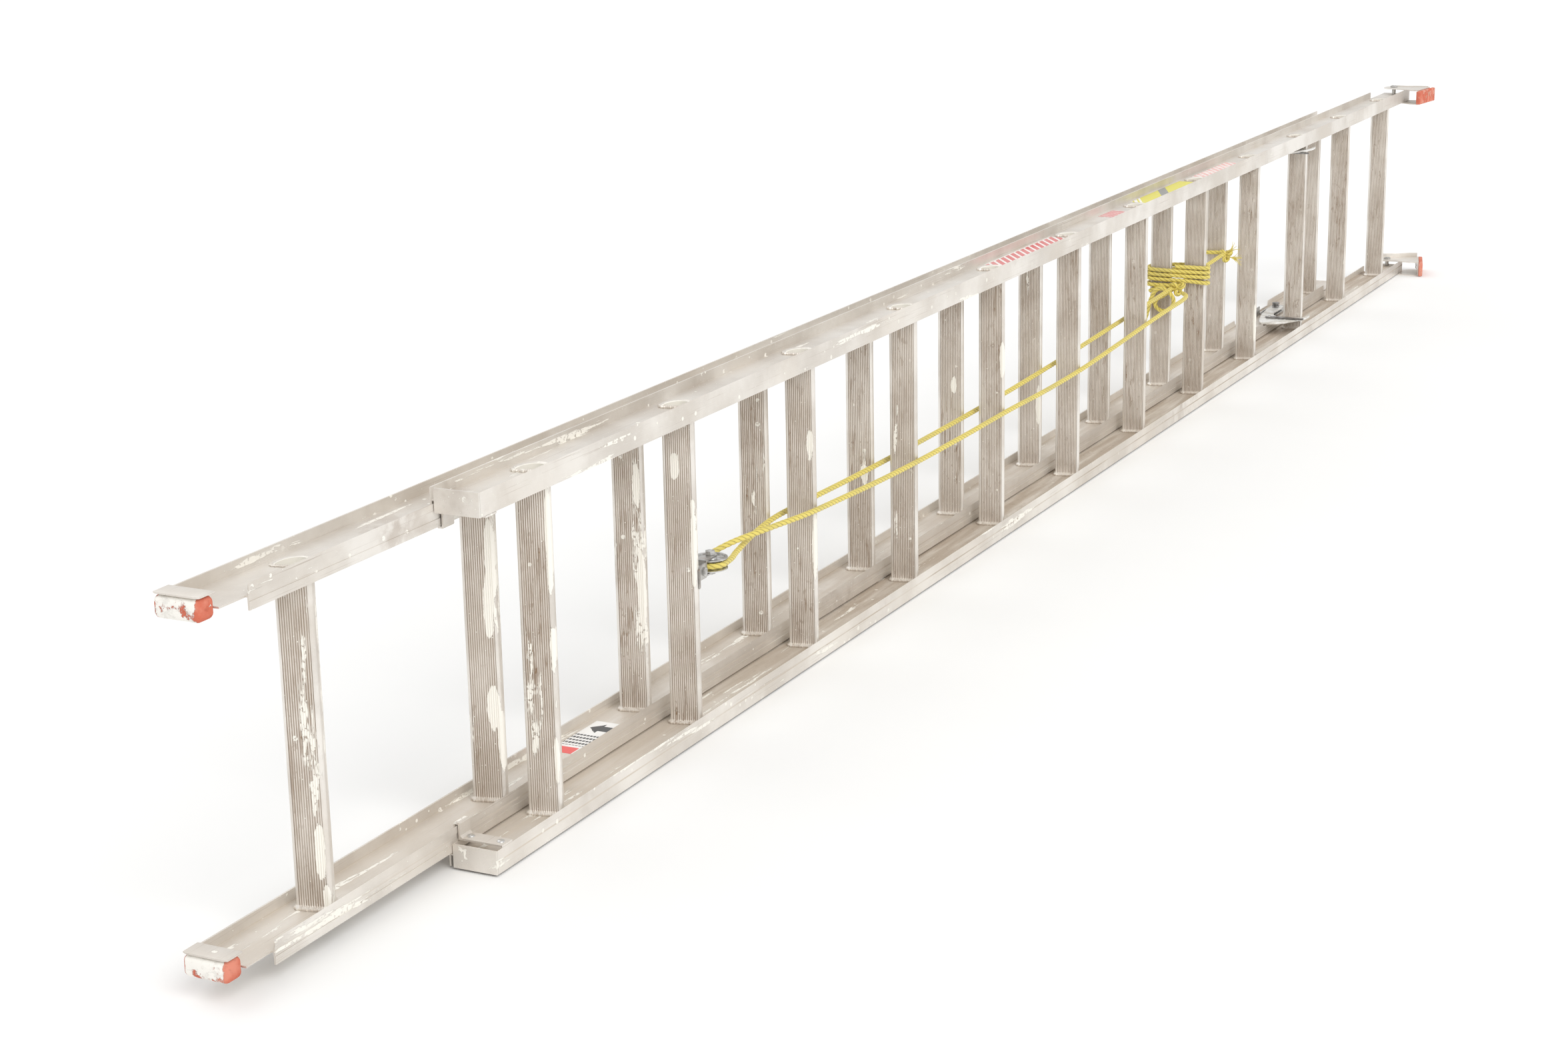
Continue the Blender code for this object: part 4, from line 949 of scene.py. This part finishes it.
shoeShape = {"reach": 0.066, "half": 0.0336, "wall": 0.0018,
             "lipHeight": {"lower": 0.0085, "upper": 0.002125},
             "turn": {"lower": 76.0, "upper": 97.0}, "rivet": 0.0048, "rivetIn": 0.0042, "rivetSide": 0.016,
             "padHalf": 0.045, "padThick": 0.008, "gap": 0.0003, "ribs": 9, "ribDepth": 0.0016,
             "corner": 0.003,
             "cornerDepth": 0.0024, "trim": 0.0015}


def shoes():
    # Each shoe gets a folded lip along its back edge, rivets through the foot plate and a ribbed sole
    reach, half, wall, padHalf = (shoeShape[k] for k in ("reach", "half", "wall", "padHalf"))
    across = np.linspace(-padHalf, padHalf, shoeShape["ribs"] * 8 + 1)
    wave = np.abs(np.sin(np.linspace(0, math.pi * shoeShape["ribs"], len(across)))) ** 0.6
    soleLow = reach + shoeShape["gap"]
    face = soleLow + shoeShape["padThick"] - shoeShape["ribDepth"] * (1 - wave)
    corner = np.clip((padHalf - np.abs(across)) / shoeShape["corner"], 0, 1)
    face = face - shoeShape["cornerDepth"] * (1 - corner) ** 2
    soleLine = np.vstack([np.stack([face, across], axis=1), [(soleLow, padHalf)], [(soleLow, -padHalf)]])
    far = reach - 0.003
    lipLine = [(-0.012, 0.0185), (0.0198, 0.0218), (0.0475, half), (far, half), (far, half - wall),
               (0.048, half - wall), (0.02, 0.0218 - wall), (-0.012, 0.0185 - wall)]
    for side in ("lower", "upper"):
        pivot = middle(f"shoe_bolt_{side}")
        body = f"shoe_{side}"
        turn = bodyTurn(-math.radians(shoeShape["turn"][side]))
        top = box(f"shoe_bracket_{side}")[1][2]

        def flat(points):
            return (np.asarray(points) @ turn.T + pivot[:2]).tolist()

        lip = plate(f"shoeLip{side.title()}", flat(lipLine), top - 0.001, top + shoeShape["lipHeight"][side],
                    aluminium, edge=0.0004)
        fixRide(lip, body, slot="aluminium")
        for tag, aside in (("Front", -shoeShape["rivetSide"]), ("Back", shoeShape["rivetSide"])):
            spot = flat([(reach - shoeShape["rivetIn"], aside)])[0]
            aim = turn @ np.array([-1.0, 0.0])
            rivet = rivetToward(f"shoeRivet{tag}{side.title()}", np.array([*spot, pivot[2]]),
                                np.array([*aim, 0.0]), shoeShape["rivet"], 0.0022, zinc)
            fixRide(rivet, body, slot="zinc")
        padLow, padHigh = box(f"shoe_pad_{side}")
        sole = plate(f"shoeSole{side.title()}", flat(soleLine), padLow[2] + shoeShape["trim"],
                     padHigh[2] - shoeShape["trim"], rubber, edge=0.0014)
        fixRide(sole, body, f"shoe_pad_{side}", slot="red_rubber")


def rivetToward(name, centre, aim, radius, height, mat, sides=18):
    # A dome about a level direction: radius * cos(t) beside the line, height * sin(t) along it
    aim = unit(aim)
    beside = unit(np.cross(aim, (0.0, 0.0, 1.0)))
    over = np.cross(aim, beside)
    t = np.concatenate([[-0.2], np.linspace(0, math.pi / 2 * 0.98, 6)])
    around = np.arange(sides) * 2 * math.pi / sides
    ringPart = np.cos(around)[None, :, None] * beside + np.sin(around)[None, :, None] * over
    wide = radius * np.cos(np.maximum(t, 0))
    tall = height * np.sin(t)
    grid = centre + wide[:, None, None] * ringPart + tall[:, None, None] * aim
    return surface(name, grid, mat, capped=True)


shoes()
print("shoes finished")

lockShape = {
    "edge": 0.0009, "markHeight": 0.0005, "pinForward": 0.0718, "eye": 0.013, "face": 0.0035,
    "stud": (-0.038, -0.0188), "rivet": 0.0046, "rivetIn": 0.01, "bracketWall": 0.002,
    # round the crown and down the outer edge to the finger's tip, counted from the carried rung's axis
    "outer": [(0.02, 0.06), (-0.01, 0.0565), (-0.046, 0.049), (-0.072, 0.042), (-0.086, 0.033),
              (-0.0885, 0.021), (-0.084, 0.0095), (-0.07, -0.006), (-0.045, -0.0185), (-0.0253, -0.0272),
              (-0.01, -0.0318), (0.008, -0.0325), (0.0185, -0.0305), (0.0263, -0.0275)],
    # back along the tread and up the throat
    "inner": [(0.0215, -0.0262), (0.012, -0.0262), (0.0, -0.0268), (-0.0085, -0.0262), (-0.0116, -0.0238),
              (-0.0132, -0.016), (-0.0175, 0.0), (-0.0214, 0.011), (-0.0212, 0.0165), (-0.0165, 0.024),
              (-0.006, 0.033), (0.02, 0.04)],
    # two bars and an oval: (place, half sizes, angle)
    "marks": [((-0.052, 0.0145), (0.017, 0.0022), 0.1), ((-0.0395, 0.001), (0.015, 0.0022), 0.1),
              ((-0.06, 0.029), (0.007, 0.003), 0.45)],
    # the guide tab: half its length, its two faces' places and the levels of its edges above the web's middle
    "tabHalf": 0.02, "tab": (0.0165, 0.0185), "tabRise": (0.0013, 0.0178)}


def rungLocks():
    # The hook plate: an arm from the pin, a neck beside the tread and a finger in front of the rung
    carried = 9 * rungStep
    flyMiddle = middle("fly_rail_lower")[1] - start[1]
    pin = np.array([carried + lockShape["pinForward"], flyMiddle])
    turn = np.radians(np.linspace(-97, 92, 14))
    eyeArc = pin + lockShape["eye"] * np.stack([np.cos(turn), np.sin(turn)], axis=1)
    outline = np.vstack([eyeArc, np.array(lockShape["outer"] + lockShape["inner"]) + (carried, 0)])
    for side in ("lower", "upper"):
        low, high = box(f"lock_hook_{side}")
        up = 1 if side == "lower" else -1
        back = low[2] if side == "lower" else high[2]
        face = back + up * lockShape["face"]
        hook = plate(f"hookPlate{side.title()}", outline + start[:2], *sorted((face, back)), hookSteel,
                     edge=lockShape["edge"])
        fixRide(hook, f"lock_hook_{side}", f"lock_hook_{side}", slot="steel")
        # raised plain marks on the plate, then the stud that the tongue turns on
        for number, ((x, y), (a, b), angle) in enumerate(lockShape["marks"]):
            oval = ring(1.0, 20) * (a, b)
            oval = np.sign(oval) * np.abs(oval / (a, b)) ** 0.6 * (a, b)
            oval = oval @ bodyTurn(angle).T + (carried + x, y) + start[:2]
            raised = sorted((face - up * 0.0003, face + up * lockShape["markHeight"]))
            mark = plate(f"hookMark{number}{side.title()}", oval, *raised, hookSteel, edge=0.0002)
            fixRide(mark, f"lock_hook_{side}", slot="steel")
        stud = (start[0] + carried + lockShape["stud"][0], start[1] + flyMiddle + lockShape["stud"][1])
        tongueLow, tongueHigh = box(f"lock_tongue_{side}")
        top = tongueHigh[2] if side == "lower" else tongueLow[2]
        dome(f"tongueStud{side.title()}", (*stud, top), lockShape["rivet"], up * 0.0022, zinc,
             f"lock_hook_{side}", "zinc")
        bracketLow, bracketHigh = box(f"lock_bracket_{side}")
        level = (bracketLow if side == "lower" else bracketHigh)[2] + up * lockShape["bracketWall"]
        inset = lockShape["rivetIn"]
        for tag, x in (("Near", bracketLow[0] + inset), ("Far", bracketHigh[0] - inset)):
            dome(f"bracketRivet{tag}{side.title()}", (x, start[1] + flyMiddle, level), lockShape["rivet"],
                 up * 0.002, zinc, "fly", "zinc")
        # the guide tab: a strip folded up from the bracket behind the hook
        half = lockShape["tabHalf"]
        near, far = (flyMiddle + y for y in lockShape["tab"])
        tabLine = [(carried - half, near), (carried + half, near), (carried + half, far),
                   (carried - half, far)]
        web = middle(f"fly_rail_{side}")[2]
        levels = sorted(web + up * rise for rise in lockShape["tabRise"])
        tab = plate(f"lockTab{side.title()}", np.array(tabLine) + start[:2], *levels, steel, edge=0.0003)
        fixRide(tab, "fly", slot="steel")


rungLocks()
print("rung locks made")


guide = {"wall": 0.0148, "radius": 0.0042, "height": 0.0019, "places": (("Front", -0.021), ("Back", 0.014))}


def guideRivets():
    # Two rivets hold each guide strip
    for side in ("lower", "upper"):
        x = middle(f"guide_bracket_{side}")[0]
        inside = 1 if side == "lower" else -1
        level = start[2] + (0 if side == "lower" else webSpan) + inside * guide["wall"]
        for tag, y in guide["places"]:
            dome(f"guideRivet{tag}{side.title()}", (x, start[1] + y, level), guide["radius"],
                 inside * guide["height"], zinc, "base", "zinc")


guideRivets()


def sticker(name, x, y, level, size, ink, mat, body):
    # A thin sheet on a grid; ink(u, v) gives the print, u metres along the ladder and v across it
    u = np.linspace(0, size[0], max(2, int(size[0] / 0.0008)))
    v = np.linspace(0, size[1], max(2, int(size[1] / 0.0008)))
    gu, gv = np.meshgrid(u, v, indexing="ij")
    wave = 0.00006 * np.sin(gu * 90) * np.sin(gv * 140)
    top = np.stack([gu + x, gv + y, np.full_like(gu, level + 0.00022) + wave], axis=-1)
    piece = surface(name, top[:, ::-1] + start, mat, closeAcross=False, values={"ink": ink(gu, gv)[:, ::-1]})
    rim = piece.modifiers.new("thickness", "SOLIDIFY")
    rim.thickness, rim.offset = 0.00016, -1
    return fixRide(piece, body, slot="aluminium")


def slantedBars(u, v):
    # One row of thick slanted stripes
    stroke = np.mod(u - v * 1.3, 0.019) < 0.0125
    return (stroke & (v > 0.004) & (v < 0.043)).astype(float)


def redBlock(u, v):
    return ((v > 0.004) & (np.mod(u + v * 1.2, 0.015) < 0.0118)).astype(float)


def yellowBand(u, v):
    slide = u - v * 2.2
    ink = ((slide > 0.038) & (slide < 0.074)).astype(float)
    return np.where((slide < -0.052) & (np.mod(slide, 0.02) < 0.012), -1.0, ink)


def arrowAndBars(u, v):
    # An upright arrow at the far end, rows of bars, and a strip of the second print at the near end
    head = (v > 0.016) & (v < 0.03) & (np.abs(u - 0.082) < (0.03 - v) * 1.05)
    shaft = (v >= 0.004) & (v <= 0.016) & (np.abs(u - 0.082) < 0.0075)
    bars = (u > 0.024) & (u < 0.06) & (np.mod(u, 0.0085) > 0.0042) & (np.sin(v * 1500) > -0.55)
    return np.where((u < 0.018) & (v > 0.006), -1.0, (head | shaft | bars).astype(float))


def stickers():
    top = webSpan + webWall / 2
    sticker("stripSticker", 1.243, -0.0245, top, (0.257, 0.046), slantedBars, redLabel, "base")
    sticker("smallSticker", 1.706, -0.015, top, (0.062, 0.034), redBlock, redLabel, "base")
    sticker("yellowSticker", 1.862, -0.023, top, (0.246, 0.044), yellowBand, yellowLabel, "base")
    sticker("fadedSticker", 2.162, -0.02, top, (0.19, 0.038), slantedBars, fadedLabel, "base")
    flyTop = flyWeb + webWall / 2
    flyMiddle = middle("fly_rail_lower")[1] - start[1]
    sticker("arrowSticker", 0.118, flyMiddle - 0.017, flyTop, (0.104, 0.034), arrowAndBars, arrowLabel, "fly")


stickers()
print("stickers laid")

# Nodes that have a lower and an upper one, then single nodes
pairFinish = [(aluminium, ("base_end_plate", "guide_bracket", "shoe_bracket")), (zinc, ("shoe_bolt",)),
              (rubber, ("shoe_pad", "fly_cap")), (steel, ("lock_bracket", "lock_hook")),
              (dark, ("lock_pin", "lock_tongue", "lock_spring"))]
nodeFinish = [(aluminium, f"{section}_rail_upper") for section in ("base", "fly")]
nodeFinish += [(lowerAluminium, f"{section}_rail_lower") for section in ("base", "fly")]
for side in ("lower", "upper"):
    nodeFinish += [(mat, f"{node}_{side}") for mat, nodes in pairFinish for node in nodes]
nodeFinish += [(steel, "pulley_housing"), (zinc, "pulley_wheel"), (zinc, "pulley_axle"),
               (zinc, "pulley_hanger_bolt")]
for mat, node in nodeFinish:
    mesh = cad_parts[node].data
    mesh.materials.clear()
    mesh.materials.append(mat)
print("frame's own pieces finished")
